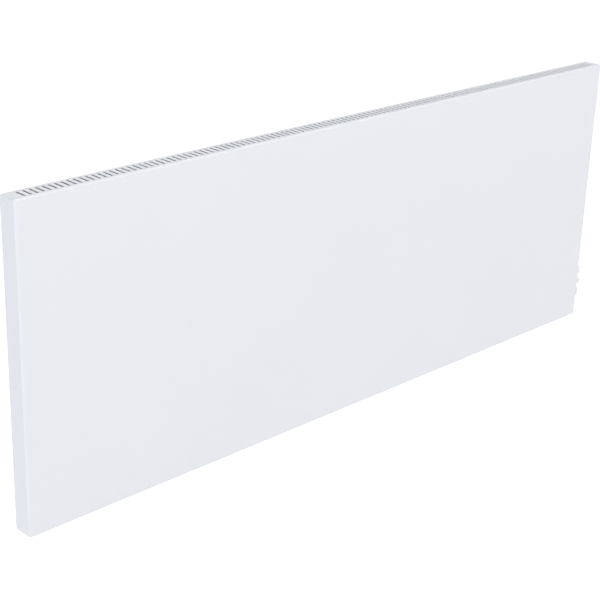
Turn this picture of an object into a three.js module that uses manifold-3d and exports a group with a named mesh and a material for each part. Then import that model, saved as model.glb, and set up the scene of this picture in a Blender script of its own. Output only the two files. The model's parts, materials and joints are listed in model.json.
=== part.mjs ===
// Wall panel convector heater: a slim folded-steel casing with a slotted air outlet, a finned
// aluminium element inside, the controls in the right-hand end, and a tilting wall bracket.
// Millimetres. +X right seen from the front, +Y into the wall, +Z up.
// The origin lies on the wall, in the middle of the bracket's lower crossbar.

import * as THREE from 'three';
import { mergeVertices } from 'three/addons/utils/BufferGeometryUtils.js';
import Module from 'manifold-3d';

const wasm = await Module();
wasm.setup();

// ---- fits ----
const fitGap = 0.3;              // between pieces that touch on the real heater
const looseGap = 1;              // between pieces that only pass each other

// ---- casing ----
const casingWidth = 1025;
const casingHeight = 400;
const casingDepth = 28;
const casingSheet = 1;
const bendRadius = 2.5;          // outside of the folds round the front
const cornerRadius = 3.3;        // corners of the front outline
const lipWidth = 9;              // returns along the back, which the rear panel is screwed to
const wallGap = 27;              // wall to rear panel

// ---- air slots ----
const outletSlots = {
  pitch: 8,
  width: 2.6,
  length: 18,
  fromFront: 4,
  endMargin: 16,                 // casing end to the first slot's middle, at least
};
const intakeSlots = {
  pitch: 20,
  width: 4,
  length: 17,
  fromFront: 5,
  endMargin: 24,
};

// ---- rear panel ----
const panelSheet = 0.8;
const panelInset = 1;            // panel edge inside the casing outline
const beadCount = 3;
const beadWidth = 16;
const beadDepth = 2.4;
const beadEndMargin = 14;        // bead ends inside the ends of the element

// ---- wall bracket ----
const bracketSheet = 2;
const crossbarSheet = 1.5;
const hookSpan = 460;            // between the two upright flanges
const hookHeight = 50;           // hooks above the bottom of the casing
const uprightWebWidth = 28;
const uprightFromTop = 32;       // below the top of the casing
const uprightBottom = -30;
const flangeClearance = 3;       // upright flange to rear panel
const crossbarHeight = 24;
const upperCrossbarFromTop = 100;
const wallScrewHole = 5;
const wallScrewLowAt = 40;
const wallScrewFromTop = 64;

// ---- hooks and the slots that hang on them ----
const tiltLimitDegrees = 28;
const hookTipRise = 8;
const hookDrop = 8;
const hookTroughWidth = 3.7;
const hookTipWidth = 3;
const hookTipChamfer = 0.8;
const hookThroat = 4;            // metal in front of the trough
const hookTiltRoom = 6;          // degrees kept beyond the tilt limit
const uprightCorner = 4;         // chamfer at the top of the flange
const hookSlotWidth = 6;
const hookSlotHeight = 18;

// ---- latch ----
const latchFromTop = 48;
const clipSheet = 0.6;
const clipHeight = 14;
const clipDepth = 14;
const clipMouth = 4.8;           // between the clip's leaves
const clipWaist = 3;             // from the mouth to the waist, and on to the full width
const tongueHeight = 16;
const tongueReach = 14;

// ---- heating element ----
const elementEndMargin = 60;
const elementHeight = 50;
const elementWidth = 17;
const elementFin = 1.4;
const hubRadius = 5.6;
const rodRadius = 4;
const rodOverhang = 24;
const pinRadius = 1.7;
const pinLength = 9;
const expansionSlitWidth = 2;
const expansionSlitPitch = 100;
const expansionSlitFrom = 0.24;  // share of the element's height over its axis
const armKnee = 0.45;            // where the arms turn into fins, as a share of half the height
const innerFinAt = 0.42;         // share of half the element's width
const rodEndRoom = 4;            // rod end to partition
const elementBracketSheet = 1.2;
const elementBracketFoot = 12;
const elementBracketFrom = 10;   // bracket wall to element end
const elementBracketMargin = 5;  // beyond the bush's flange
const bushNeckRadius = 6;
const bushFlangeRadius = 8.5;
const bushFlange = 3;
const bushNeck = 4;
const restSheet = 1.2;
const restWidth = 22;
const restFoot = 16;
const restLip = 3.6;

// ---- heat shield ----
const shieldSheet = 0.6;
const shieldStandOff = 4;
const shieldTop = 196;
const shieldBottom = 17;
const shieldFoot = 8;

// ---- control end ----
const controlChamber = 107;      // inside width of the control end
const partitionSheet = 0.8;
const partitionFoot = 12;
const controlFromFront = 14;     // control axis behind the front face
const thermostatAt = 54;         // knob axis above the bottom of the casing
const controlPitch = 18;
const escutcheonThickness = 2;
const escutcheonDepth = 22;
const escutcheonHeight = 60;
const escutcheonCorner = 3;
const escutcheonEdge = 0.6;
const knobRadius = 10;
const knobHeight = 8.7;
const knobLobes = 16;
const knobLobeDepth = 0.45;
const knobEdge = 1;
const pointerWidth = 1.4;
const pointerDepth = 0.6;
const pointerFrom = 0.3;         // shares of the knob's radius, from its axis
const pointerTo = 0.82;
const spindleRadius = 3;
const spindleFlat = 0.9;         // depth of the flat on the spindle
const spindleInKnob = 6;
const thermostatNeckRadius = 5;
const thermostatDepth = 20;
const thermostatHalfHeight = 11;
const thermostatHalfWidth = 10.5;

// ---- rocker switches ----
const switchFrameLength = 21;
const switchFrameHeight = 13.4;
const switchFrameRise = 5.2;
const switchBodyLength = 18.2;
const switchBodyHeight = 10.8;
const switchBodyDepth = 15;
const switchFloor = 1.5;
const switchCorner = 1.5;
const switchFrameEdge = 0.5;
const bladeLength = 5;
const bladeWidth = 4.8;
const bladeSheet = 0.8;
const bladeOffset = 4.5;         // blades in front of and behind the control axis
const rockerLength = 16;
const rockerHeight = 8.8;
const rockerPivotDrop = 3;       // pivot below the frame's face
const rockerPressedRise = 0.2;   // pressed end above the frame's face
const rockerTravelDegrees = 20;
const rockerPinRadius = 1.2;
const rockerPinReach = 0.9;
const rockerShoulder = 0.96;     // shares of half its length, at the pivot's level
const rockerFoot = 0.75;         // and at its bottom
const rockerKeel = 1;

// ---- electrical parts ----
const wireRadius = 1.2;
const wireBend = 7;
const wireBendSteps = 4;
const leadLoop = 10;             // how far a lead stands out behind a terminal
const bootRadius = 3.2;
const bootCap = 1.2;
const terminalBlockWidth = 30;
const terminalBlockHeight = 20;
const terminalBlockDepth = 14;
const terminalPolePitch = 9;
const terminalBlockCorner = 1;
const terminalWellRadius = 2.4;
const terminalGroove = 1.2;
const terminalBlockFromFoot = 8; // partition foot to block
const terminalBlockAt = 105;     // height over the origin
const earthPostAt = 52;
const earthStudRadius = 2.5;
const earthNutRadius = 5;
const earthNutHeight = 3;
const earthStudLength = 11;
const cutoutRadius = 8;
const cutoutHeight = 7;
const cutoutBrim = 2;            // thickness of the wide part on the shield
const cutoutStep = 1.5;          // from the brim in to the cap
const cutoutSlope = 0.6;
const cutoutAt = 110;
const cutoutFromElementEnd = 50;
const leadThroughRadius = 4.5;   // holes for leads in the partition
const leadGrommetRadius = 5.8;
const leadGrommetFlange = 1.2;
const wireClipLength = 8;
const wireClipHeight = 12;
const wireClipBase = 1.6;
const wireClipRing = 1.3;
const wireClipMouth = 1.68;
const grommetRadius = 9;
const grommetHoleRadius = 7;
const grommetMembrane = 1.2;
const grommetWall = 1.5;         // round the membrane
const grommetFrontFlange = 1.6;
const grommetBackFlange = 2;
const grommetChamfer = 1;
const grommetFromLip = 6;

// ---- derived places ----
const halfWidth = casingWidth / 2;
const rearFace = -wallGap;
const frontFace = rearFace - casingDepth;
const casingBottom = -hookHeight;
const casingTop = casingBottom + casingHeight;
const uprightTop = casingTop - uprightFromTop;
const upperCrossbarAt = casingTop - upperCrossbarFromTop;
const wallScrewHighAt = casingTop - wallScrewFromTop;
const latchAt = casingTop - latchFromTop;
const panelInner = rearFace - panelSheet;
const lipFace = panelInner - fitGap;
const seat = panelInner - fitGap;
const insideFront = frontFace + casingSheet;
const hookAt = hookSpan / 2;
const partitionAt = halfWidth - casingSheet - controlChamber;
const elementLeft = -halfWidth + elementEndMargin;
const elementRight = partitionAt - rodOverhang - pinLength - rodEndRoom;
const elementMiddle = (elementLeft + elementRight) / 2;
const shieldFace = seat - shieldStandOff - shieldSheet;
const elementAxisY = (shieldFace + insideFront) / 2;
const elementBase = shieldBottom - looseGap;
const elementAxisZ = elementBase + fitGap + elementHeight / 2;
const controlAxisY = frontFace + controlFromFront;
const controlAxisZ = casingBottom + thermostatAt;
const endFace = halfWidth;
const endInside = halfWidth - casingSheet;
const plateFace = endFace + fitGap + escutcheonThickness;
const switchFace = plateFace + fitGap + switchFrameRise;
const thermostatBack = endInside - fitGap - thermostatDepth;
const thermostatBladeTip = thermostatBack - bladeLength;
const spindleRoot = thermostatBack + thermostatDepth / 2;
const neckEnd = plateFace - fitGap;
const knobBase = plateFace + fitGap;
const switchBack = endInside - switchBodyDepth;
const switchBladeTip = switchBack - bladeLength;
const rockerPivotX = switchFace - rockerPivotDrop;
const grommetX = partitionAt + controlChamber / 2;
const grommetZ = casingBottom + lipWidth + grommetRadius + grommetFromLip;
const terminalBlockX = partitionAt + partitionFoot + terminalBlockFromFoot + terminalBlockWidth / 2;
const terminalBlockY = seat - fitGap - terminalBlockDepth / 2;
const terminalBlockBottom = terminalBlockAt - terminalBlockHeight / 2;
const cutoutX = elementRight - cutoutFromElementEnd;
const cutoutFront = shieldFace - fitGap - cutoutHeight;
const cutoutBladeY = cutoutFront + bladeSheet;
const cutoutReach = cutoutRadius + bladeLength;
const returnWireY = terminalBlockY;
const returnWireAt = casingBottom + lipWidth + looseGap + wireClipHeight / 2;
const controlLeadY = controlAxisY - bladeOffset;
const rearLeadY = controlAxisY + bladeOffset;
const underBlock = terminalBlockBottom - fitGap;
const leftPinX = elementLeft - rodOverhang - pinLength / 2;
const rightPinX = elementRight + rodOverhang + pinLength / 2;
const bootTop = elementAxisZ + bootRadius + fitGap;
const bootBottom = elementAxisZ - bootRadius - fitGap;
const switchTip = switchBladeTip - fitGap;
const thermostatTip = thermostatBladeTip - fitGap;

// ---- colours ----
const white = { color: 0xe9ebf0, roughness: 0.42, metalness: 0 };
const whitePlastic = { color: 0xe6e8ec, roughness: 0.5, metalness: 0 };
const galvanised = { color: 0xa9adb0, roughness: 0.45, metalness: 0.85 };
const springSteel = { color: 0x8d9296, roughness: 0.3, metalness: 0.95 };
const aluminium = { color: 0xc3c6c8, roughness: 0.38, metalness: 0.9 };
const steelTube = { color: 0x7c7f80, roughness: 0.4, metalness: 0.9 };
const ceramic = { color: 0xe4dfd2, roughness: 0.6, metalness: 0 };
const blackPlastic = { color: 0x26282a, roughness: 0.55, metalness: 0 };
const blackRubber = { color: 0x1d1e1f, roughness: 0.8, metalness: 0 };
const brass = { color: 0xb9973f, roughness: 0.35, metalness: 0.9 };
const brownWire = { color: 0x6d3f22, roughness: 0.5, metalness: 0 };
const blueWire = { color: 0x2c56a0, roughness: 0.5, metalness: 0 };
const earthWire = { color: 0x7f9c2b, roughness: 0.5, metalness: 0 };

// ---- solids ----

function solidOf(geometry) {
  const bare = geometry.clone();
  bare.deleteAttribute('normal');
  bare.deleteAttribute('uv');
  const merged = mergeVertices(bare, 1e-4);
  const corners = merged.index.array;
  const kept = [];
  for (let i = 0; i < corners.length; i += 3) {
    const [a, b, c] = [corners[i], corners[i + 1], corners[i + 2]];
    if (a !== b && b !== c && c !== a) kept.push(a, b, c);
  }
  return new wasm.Manifold(new wasm.Mesh({
    numProp: 3,
    vertProperties: new Float32Array(merged.attributes.position.array),
    triVerts: new Uint32Array(kept),
  }));
}

function join(...bodies) {
  return bodies.reduce((whole, body) => whole.add(body));
}

function cut(body, ...tools) {
  return tools.reduce((rest, tool) => rest.subtract(tool), body);
}

function geometryOf(body) {
  const { vertProperties, triVerts } = body.getMesh();
  const geometry = new THREE.BufferGeometry();
  geometry.setAttribute('position', new THREE.BufferAttribute(vertProperties, 3));
  geometry.setIndex(new THREE.BufferAttribute(triVerts, 1));
  const faceted = geometry.toNonIndexed();
  faceted.computeVertexNormals();
  return faceted;
}

function block(lowX, highX, lowY, highY, lowZ, highZ) {
  const geometry = new THREE.BoxGeometry(highX - lowX, highY - lowY, highZ - lowZ);
  geometry.translate((lowX + highX) / 2, (lowY + highY) / 2, (lowZ + highZ) / 2);
  return solidOf(geometry);
}

const alongX = new THREE.Vector3(1, 0, 0);
const alongY = new THREE.Vector3(0, 1, 0);
const alongZ = new THREE.Vector3(0, 0, 1);
const turned = {
  x: new THREE.Matrix4().makeBasis(alongY, alongZ, alongX),
  y: new THREE.Matrix4().makeBasis(alongX, alongZ, alongY.clone().negate()),
  z: new THREE.Matrix4(),
};

function shapeOf(corners) {
  return new THREE.Shape(corners.map(([a, b]) => new THREE.Vector2(a, b)));
}

// An outline pushed along an axis. Outlines across X hold (y, z), across Y (x, z), across Z (x, y).
// An arc gets arcSteps facets, which is twice the curveSegments that three.js is given.
function pushed(outline, axis, low, high, arcSteps = 3) {
  const shape = Array.isArray(outline) ? shapeOf(outline) : outline;
  const geometry = new THREE.ExtrudeGeometry(shape, {
    depth: high - low,
    bevelEnabled: false,
    curveSegments: arcSteps / 2,
  });
  geometry.translate(0, 0, axis === 'y' ? -high : low);
  return solidOf(geometry.applyMatrix4(turned[axis]));
}

// The same with its edges rounded or chamfered at both ends.
function pushedRounded(outline, axis, low, high, edge, edgeSteps, arcSteps = 3) {
  const geometry = new THREE.ExtrudeGeometry(outline, {
    depth: high - low - 2 * edge,
    bevelThickness: edge,
    bevelSize: edge,
    bevelOffset: -edge,
    bevelSegments: edgeSteps,
    curveSegments: arcSteps / 2,
  });
  geometry.translate(0, 0, axis === 'y' ? -high + edge : low + edge);
  return solidOf(geometry.applyMatrix4(turned[axis]));
}

function roundedRectangle(width, height, radius, centreA = 0, centreB = 0) {
  const shape = new THREE.Shape();
  const a = width / 2 - radius;
  const b = height / 2 - radius;
  const quarter = Math.PI / 2;
  shape.absarc(centreA + a, centreB + b, radius, 0, quarter, false);
  shape.absarc(centreA - a, centreB + b, radius, quarter, 2 * quarter, false);
  shape.absarc(centreA - a, centreB - b, radius, 2 * quarter, 3 * quarter, false);
  shape.absarc(centreA + a, centreB - b, radius, 3 * quarter, 4 * quarter, false);
  return shape;
}

function slot(lengthA, lengthB, centreA, centreB) {
  const shape = new THREE.Shape();
  const radius = Math.min(lengthA, lengthB) / 2;
  const a = lengthA / 2 - radius;
  const b = lengthB / 2 - radius;
  const start = a > b ? -Math.PI / 2 : 0;
  shape.absarc(centreA + a, centreB + b, radius, start, start + Math.PI, false);
  shape.absarc(centreA - a, centreB - b, radius, start + Math.PI, start + 2 * Math.PI, false);
  return shape;
}

function disc(radius, centreA = 0, centreB = 0) {
  return new THREE.Shape().absarc(centreA, centreB, radius, 0, 2 * Math.PI, false);
}

// A turned piece about a line parallel to X; the profile holds (radius, x).
function turnedAboutX(profile, axisY, axisZ, segments = 24) {
  const geometry = new THREE.LatheGeometry(profile.map(([r, x]) => new THREE.Vector2(r, x)), segments);
  geometry.rotateZ(-Math.PI / 2);
  return solidOf(geometry.translate(0, axisY, axisZ));
}

// A turned piece about a line parallel to Y; the profile holds (radius, y).
function turnedAboutY(profile, axisX, axisZ, segments = 24) {
  const geometry = new THREE.LatheGeometry(profile.map(([r, y]) => new THREE.Vector2(r, y)), segments);
  return solidOf(geometry.translate(axisX, 0, axisZ));
}

// Bent sheet seen on edge: the path, and the path moved by the sheet's thickness to its left.
function bentSheet(path, thickness) {
  const moved = path.map((point, i) => {
    const before = path[Math.max(i - 1, 0)];
    const after = path[Math.min(i + 1, path.length - 1)];
    const intoPoint = i > 0 ? leftOf(before, point) : leftOf(point, after);
    const outOfPoint = i < path.length - 1 ? leftOf(point, after) : intoPoint;
    const spread = 1 + intoPoint[0] * outOfPoint[0] + intoPoint[1] * outOfPoint[1];
    return [
      point[0] + thickness * (intoPoint[0] + outOfPoint[0]) / spread,
      point[1] + thickness * (intoPoint[1] + outOfPoint[1]) / spread,
    ];
  });
  return [...path, ...moved.reverse()];
}

function leftOf([a0, b0], [a1, b1]) {
  const length = Math.hypot(a1 - a0, b1 - b0);
  return [-(b1 - b0) / length, (a1 - a0) / length];
}

// ---- the heater as a scene ----

const heater = new THREE.Group();

function piece(name, body, finish) {
  const mesh = new THREE.Mesh(geometryOf(body), new THREE.MeshStandardMaterial(finish));
  mesh.name = name;
  heater.add(mesh);
}

// ---- casing ----

// A block with rounded front edges, whose back is cut square at the given plane.
function roundedFrontBlock(inset, backPlane) {
  const outline = roundedRectangle(
    casingWidth - 2 * inset,
    casingHeight - 2 * inset,
    cornerRadius - inset,
    0,
    casingBottom + casingHeight / 2,
  );
  const edge = bendRadius - inset;
  const long = pushedRounded(outline, 'y', frontFace + inset, backPlane + 2 * bendRadius, edge, 3);
  const behind = block(
    -casingWidth,
    casingWidth,
    backPlane,
    backPlane + casingDepth,
    casingBottom - 1,
    casingTop + 1,
  );
  return cut(long, behind);
}

// Slots along the top or the underside, each running from front to back.
function slotRow({ pitch, width, length, fromFront, endMargin }, levelZ) {
  const gaps = Math.floor((casingWidth - 2 * endMargin) / pitch);
  const centreY = frontFace + fromFront + length / 2;
  const tools = [];
  for (let i = 0; i <= gaps; i += 1) {
    const outline = slot(width, length, (i - gaps / 2) * pitch, centreY);
    tools.push(pushed(outline, 'z', levelZ - 2 * casingSheet, levelZ + 2 * casingSheet));
  }
  return wasm.Manifold.union(tools);
}

function switchOpenings(low, high, clearance) {
  return [-1, 1].map((side) => {
    const centreZ = controlAxisZ + side * controlPitch;
    const length = switchBodyLength / 2 + clearance;
    const height = switchBodyHeight / 2 + clearance;
    return block(
      low,
      high,
      controlAxisY - length,
      controlAxisY + length,
      centreZ - height,
      centreZ + height,
    );
  });
}

function frontCasing() {
  const outside = roundedFrontBlock(0, lipFace);
  const inside = roundedFrontBlock(casingSheet, lipFace - casingSheet);
  const backOpening = block(
    -halfWidth + lipWidth,
    halfWidth - lipWidth,
    lipFace - 2 * casingSheet,
    lipFace + casingSheet,
    casingBottom + lipWidth,
    casingTop - lipWidth,
  );
  const outlet = slotRow(outletSlots, casingTop);
  const intake = slotRow(intakeSlots, casingBottom);
  const neckHole = pushed(
    disc(thermostatNeckRadius + fitGap, controlAxisY, controlAxisZ),
    'x',
    endInside - casingSheet,
    endFace + casingSheet,
    16,
  );
  const switchHoles = switchOpenings(endInside - casingSheet, endFace + casingSheet, fitGap);
  return cut(outside, inside, backOpening, outlet, intake, neckHole, ...switchHoles);
}

// ---- rear panel ----

function stiffeningBead(centreZ, inset) {
  const width = beadWidth - 2 * inset;
  const length = elementRight - elementLeft - 2 * beadEndMargin - 2 * inset;
  const outline = slot(length, width, elementMiddle, centreZ);
  const front = panelInner - beadDepth + inset;
  return pushedRounded(outline, 'y', front, rearFace + beadDepth * 2 + inset, beadDepth, 1, 4);
}

function tongueX(side) {
  return side * (hookAt - bracketSheet - fitGap - clipSheet - clipMouth / 2);
}

function latchTongue(side) {
  const centre = tongueX(side);
  return block(
    centre - panelSheet / 2,
    centre + panelSheet / 2,
    panelInner,
    rearFace + tongueReach,
    latchAt - tongueHeight / 2,
    latchAt + tongueHeight / 2,
  );
}

function latchWindow(side) {
  const outer = tongueX(side) - side * panelSheet / 2;
  const inner = outer - side * tongueReach;
  const relief = looseGap;
  return block(
    Math.min(outer, inner),
    Math.max(outer, inner),
    panelInner - 1,
    rearFace + 1,
    latchAt - tongueHeight / 2 - relief,
    latchAt + tongueHeight / 2 + relief,
  );
}

function hookSlot(side) {
  const centre = side * (hookAt - bracketSheet / 2);
  return block(
    centre - hookSlotWidth / 2,
    centre + hookSlotWidth / 2,
    panelInner - 1,
    rearFace + 1,
    -hookSlotHeight,
    0,
  );
}

function rearPanel() {
  const outline = roundedRectangle(
    casingWidth - 2 * panelInset,
    casingHeight - 2 * panelInset,
    cornerRadius - panelInset,
    0,
    casingBottom + casingHeight / 2,
  );
  let panel = pushed(outline, 'y', panelInner, rearFace);
  for (let i = 0; i < beadCount; i += 1) {
    const centreZ = casingBottom + (casingHeight * (i + 1)) / (beadCount + 1);
    const trimmed = cut(
      stiffeningBead(centreZ, 0),
      block(-casingWidth, casingWidth, rearFace, 0, casingBottom, casingTop),
    );
    panel = cut(join(panel, trimmed), stiffeningBead(centreZ, panelSheet));
  }
  for (const side of [-1, 1]) {
    panel = cut(panel, hookSlot(side), latchWindow(side));
    panel = join(panel, latchTongue(side));
  }
  const inletOutline = disc(grommetHoleRadius, grommetX, grommetZ);
  return cut(panel, pushed(inletOutline, 'y', panelInner - 1, rearFace + 1, 20));
}

// ---- wall bracket ----

// Side view of an upright's flange, from the wall forward, ending in the hook the heater hangs on.
function uprightFlangeOutline() {
  const pivotY = rearFace - panelSheet / 2;
  const flangeFront = rearFace + flangeClearance;
  const troughFloor = -fitGap;
  const troughBack = pivotY + hookTroughWidth / 2;
  const troughFront = pivotY - hookTroughWidth / 2;
  const tipLean = Math.tan(THREE.MathUtils.degToRad(tiltLimitDegrees + hookTiltRoom))
    * (hookTipRise - troughFloor);
  const tipBack = troughFront - tipLean;
  return [
    [0, uprightTop],
    [flangeFront + uprightCorner, uprightTop],
    [flangeFront, uprightTop - uprightCorner],
    [flangeFront, hookTipRise],
    [troughBack, troughFloor],
    [troughFront, troughFloor],
    [tipBack, hookTipRise],
    [tipBack - hookTipWidth, hookTipRise],
    [tipBack - hookTipWidth - hookTipChamfer, hookTipRise - hookTipWidth],
    [troughFront - hookThroat, -hookDrop],
    [pivotY + hookDrop, -hookDrop],
    [-bracketSheet, uprightBottom],
    [0, uprightBottom],
  ];
}

function upright(side) {
  const outer = side * hookAt;
  const inner = side * (hookAt - bracketSheet);
  const webEdge = side * (hookAt - uprightWebWidth);
  const profile = uprightFlangeOutline();
  const flange = pushed(profile, 'x', Math.min(outer, inner), Math.max(outer, inner));
  const web = block(
    Math.min(outer, webEdge),
    Math.max(outer, webEdge),
    -bracketSheet,
    0,
    uprightBottom,
    uprightTop,
  );
  const holeX = side * (hookAt - uprightWebWidth / 2);
  const holes = [wallScrewLowAt, wallScrewHighAt].map((level) => (
    pushed(disc(wallScrewHole / 2, holeX, level), 'y', -bracketSheet - 1, 1, 12)
  ));
  return cut(join(flange, web), ...holes);
}

// A crossbar lies on the wall and steps forward at its ends, over the webs of the uprights.
function crossbar(centreZ) {
  const step = bracketSheet + fitGap;
  const end = hookAt - bracketSheet - looseGap;
  const shoulder = hookAt - uprightWebWidth - looseGap;
  const path = [
    [end, -step],
    [shoulder, -step],
    [shoulder - step, 0],
    [-shoulder + step, 0],
    [-shoulder, -step],
    [-end, -step],
  ];
  const outline = bentSheet(path, crossbarSheet);
  return pushed(outline, 'z', centreZ - crossbarHeight / 2, centreZ + crossbarHeight / 2);
}

// A spring leaf folded into a U, open to the front, whose waist grips the tongue of the rear panel.
function latchClip(side) {
  const back = rearFace + tongueReach + looseGap;
  const front = back - clipDepth;
  const half = clipMouth / 2;
  const waist = panelSheet / 2 + fitGap;
  const waistAt = front + clipWaist;
  const centre = tongueX(side);
  const path = [
    [-half, front],
    [-waist, waistAt],
    [-half, waistAt + clipWaist],
    [-half, back],
    [half, back],
    [half, waistAt + clipWaist],
    [waist, waistAt],
    [half, front],
  ].map(([a, y]) => [centre + a, y]);
  const outline = bentSheet(path, clipSheet);
  return pushed(outline, 'z', latchAt - clipHeight / 2, latchAt + clipHeight / 2);
}

// ---- heat shield and element ----

// A shallow hat of bright sheet that keeps the heat off the rear panel.
function heatShield() {
  const ramp = shieldStandOff;
  const path = [
    [seat, shieldTop],
    [seat, shieldTop - shieldFoot],
    [seat - shieldStandOff, shieldTop - shieldFoot - ramp],
    [seat - shieldStandOff, shieldBottom + shieldFoot + ramp],
    [seat, shieldBottom + shieldFoot],
    [seat, shieldBottom],
  ];
  const outline = bentSheet(path.reverse(), shieldSheet);
  return pushed(outline, 'x', elementLeft, elementRight);
}

// One arm of the extrusion with the two upright fins that it carries, for a quarter of the section.
function elementArm(sideY, sideZ) {
  const tipY = elementWidth / 2;
  const tipZ = elementHeight / 2;
  const knee = tipZ * armKnee;
  const innerY = tipY * innerFinAt;
  const outerFin = bentSheet([[1, 1], [tipY, knee], [tipY, tipZ]], elementFin);
  const innerFin = bentSheet([[0.5, 2], [innerY, knee], [innerY, tipZ]], elementFin);
  return [outerFin, innerFin].map((outline) => {
    const placed = outline.map(([y, z]) => [elementAxisY + sideY * y, elementAxisZ + sideZ * z]);
    return pushed(placed, 'x', elementLeft, elementRight);
  });
}

function elementExtrusion() {
  const hub = pushed(disc(hubRadius, elementAxisY, elementAxisZ), 'x', elementLeft, elementRight, 16);
  const bore = pushed(
    disc(rodRadius + fitGap, elementAxisY, elementAxisZ),
    'x',
    elementLeft - 1,
    elementRight + 1,
    16,
  );
  const quarters = [[1, 1], [-1, 1], [1, -1], [-1, -1]];
  const arms = quarters.flatMap(([sideY, sideZ]) => elementArm(sideY, sideZ));
  const slits = [];
  const slitCount = Math.floor((elementRight - elementLeft) / expansionSlitPitch) - 1;
  for (let i = 0; i <= slitCount; i += 1) {
    const centreX = elementMiddle + (i - slitCount / 2) * expansionSlitPitch;
    slits.push(block(
      centreX - expansionSlitWidth / 2,
      centreX + expansionSlitWidth / 2,
      elementAxisY - elementWidth,
      elementAxisY + elementWidth,
      elementAxisZ + elementHeight * expansionSlitFrom,
      elementAxisZ + elementHeight,
    ));
  }
  return cut(join(hub, ...arms), bore, ...slits);
}

// The sheathed heating rod, with a thinner terminal pin at each end.
function elementRod() {
  const start = elementLeft - rodOverhang;
  const end = elementRight + rodOverhang;
  const profile = [
    [0, start - pinLength],
    [pinRadius, start - pinLength],
    [pinRadius, start],
    [rodRadius, start],
    [rodRadius, end],
    [pinRadius, end],
    [pinRadius, end + pinLength],
    [0, end + pinLength],
  ];
  return turnedAboutX(profile, elementAxisY, elementAxisZ, 16);
}

function bracketWallX(side) {
  const elementEnd = side < 0 ? elementLeft : elementRight;
  return elementEnd + side * elementBracketFrom;
}

function elementBracket(side) {
  const wall = bracketWallX(side);
  const front = elementAxisY - bushFlangeRadius - looseGap;
  const path = [
    [wall + side * elementBracketFoot, seat],
    [wall, seat],
    [wall, front],
  ];
  const outline = bentSheet(side > 0 ? path : path.reverse(), elementBracketSheet);
  const half = bushFlangeRadius + elementBracketMargin;
  const plate = pushed(outline, 'z', elementAxisZ - half, elementAxisZ + half);
  const hole = pushed(
    disc(bushNeckRadius + fitGap, elementAxisY, elementAxisZ),
    'x',
    wall - elementBracketSheet * 2,
    wall + elementBracketSheet * 2,
    20,
  );
  return cut(plate, hole);
}

// A ceramic bush: its flange bears on the bracket, its neck passes through.
function elementBush(side) {
  const wall = bracketWallX(side);
  const flangeFace = wall - side * fitGap;
  const inner = rodRadius + fitGap;
  const profile = [
    [inner, flangeFace - side * bushFlange],
    [bushFlangeRadius, flangeFace - side * bushFlange],
    [bushFlangeRadius, flangeFace],
    [bushNeckRadius, flangeFace],
    [bushNeckRadius, flangeFace + side * bushNeck],
    [inner, flangeFace + side * bushNeck],
    [inner, flangeFace - side * bushFlange],
  ];
  return turnedAboutX(side > 0 ? profile : profile.reverse(), elementAxisY, elementAxisZ, 20);
}

// The strip under the middle of the element, hooked up at the front.
function elementRest() {
  const path = [
    [seat, elementBase - restSheet - restFoot],
    [seat, elementBase],
    [elementAxisY - elementWidth / 2 - fitGap, elementBase],
    [elementAxisY - elementWidth / 2 - fitGap, elementBase + restLip],
  ];
  const outline = bentSheet(path, restSheet);
  return pushed(outline, 'x', elementMiddle - restWidth / 2, elementMiddle + restWidth / 2);
}

// ---- control end ----

// The wall between the hot side and the controls, with a foot on the rear panel.
function partition() {
  const path = [
    [partitionAt + partitionFoot, seat],
    [partitionAt, seat],
    [partitionAt, insideFront + fitGap],
  ];
  const within = lipWidth + looseGap;
  const section = bentSheet(path, partitionSheet);
  const foot = pushed(section, 'z', casingBottom + within, casingTop - within);
  const front = insideFront + fitGap;
  const back = lipFace - casingSheet - fitGap;
  const low = casingBottom + casingSheet + fitGap;
  const high = casingTop - casingSheet - fitGap;
  const corner = bendRadius - casingSheet;
  const wall = pushed([
    [back, low],
    [back, high],
    [front + corner, high],
    [front, high - corner],
    [front, low + corner],
    [front + corner, low],
  ], 'x', partitionAt, partitionAt + partitionSheet);
  const holes = [[controlLeadY, cutoutAt], [returnWireY, returnWireAt]].map(([y, z]) => {
    const outline = disc(leadThroughRadius, y, z);
    return pushed(outline, 'x', partitionAt - 1, partitionAt + partitionSheet + 1, 16);
  });
  return cut(join(foot, wall), ...holes);
}

// A rubber bush whose groove sits in a hole of the partition.
function leadGrommet(axisY, axisZ) {
  const low = partitionAt - fitGap;
  const high = partitionAt + partitionSheet + fitGap;
  const groove = leadThroughRadius - fitGap;
  const bore = wireRadius + fitGap;
  const profile = [
    [bore, low - leadGrommetFlange],
    [leadGrommetRadius, low - leadGrommetFlange],
    [leadGrommetRadius, low],
    [groove, low],
    [groove, high],
    [leadGrommetRadius, high],
    [leadGrommetRadius, high + leadGrommetFlange],
    [bore, high + leadGrommetFlange],
    [bore, low - leadGrommetFlange],
  ];
  return turnedAboutX(profile, axisY, axisZ, 16);
}

// The inlet for the supply lead: a rubber grommet, whose thin membrane is pierced when the lead
// is fitted.
function supplyGrommet() {
  const back = rearFace + fitGap;
  const front = panelInner - fitGap;
  const groove = grommetHoleRadius - fitGap;
  const inner = groove - grommetWall;
  const middle = (back + front) / 2;
  const profile = [
    [0, middle - grommetMembrane / 2],
    [inner, middle - grommetMembrane / 2],
    [inner, front - grommetFrontFlange],
    [grommetRadius, front - grommetFrontFlange],
    [grommetRadius, front],
    [groove, front],
    [groove, back],
    [grommetRadius, back],
    [grommetRadius - grommetChamfer, back + grommetBackFlange],
    [inner, back + grommetBackFlange],
    [inner, middle + grommetMembrane / 2],
    [0, middle + grommetMembrane / 2],
  ];
  return turnedAboutY(profile, grommetX, grommetZ, 24);
}

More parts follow.
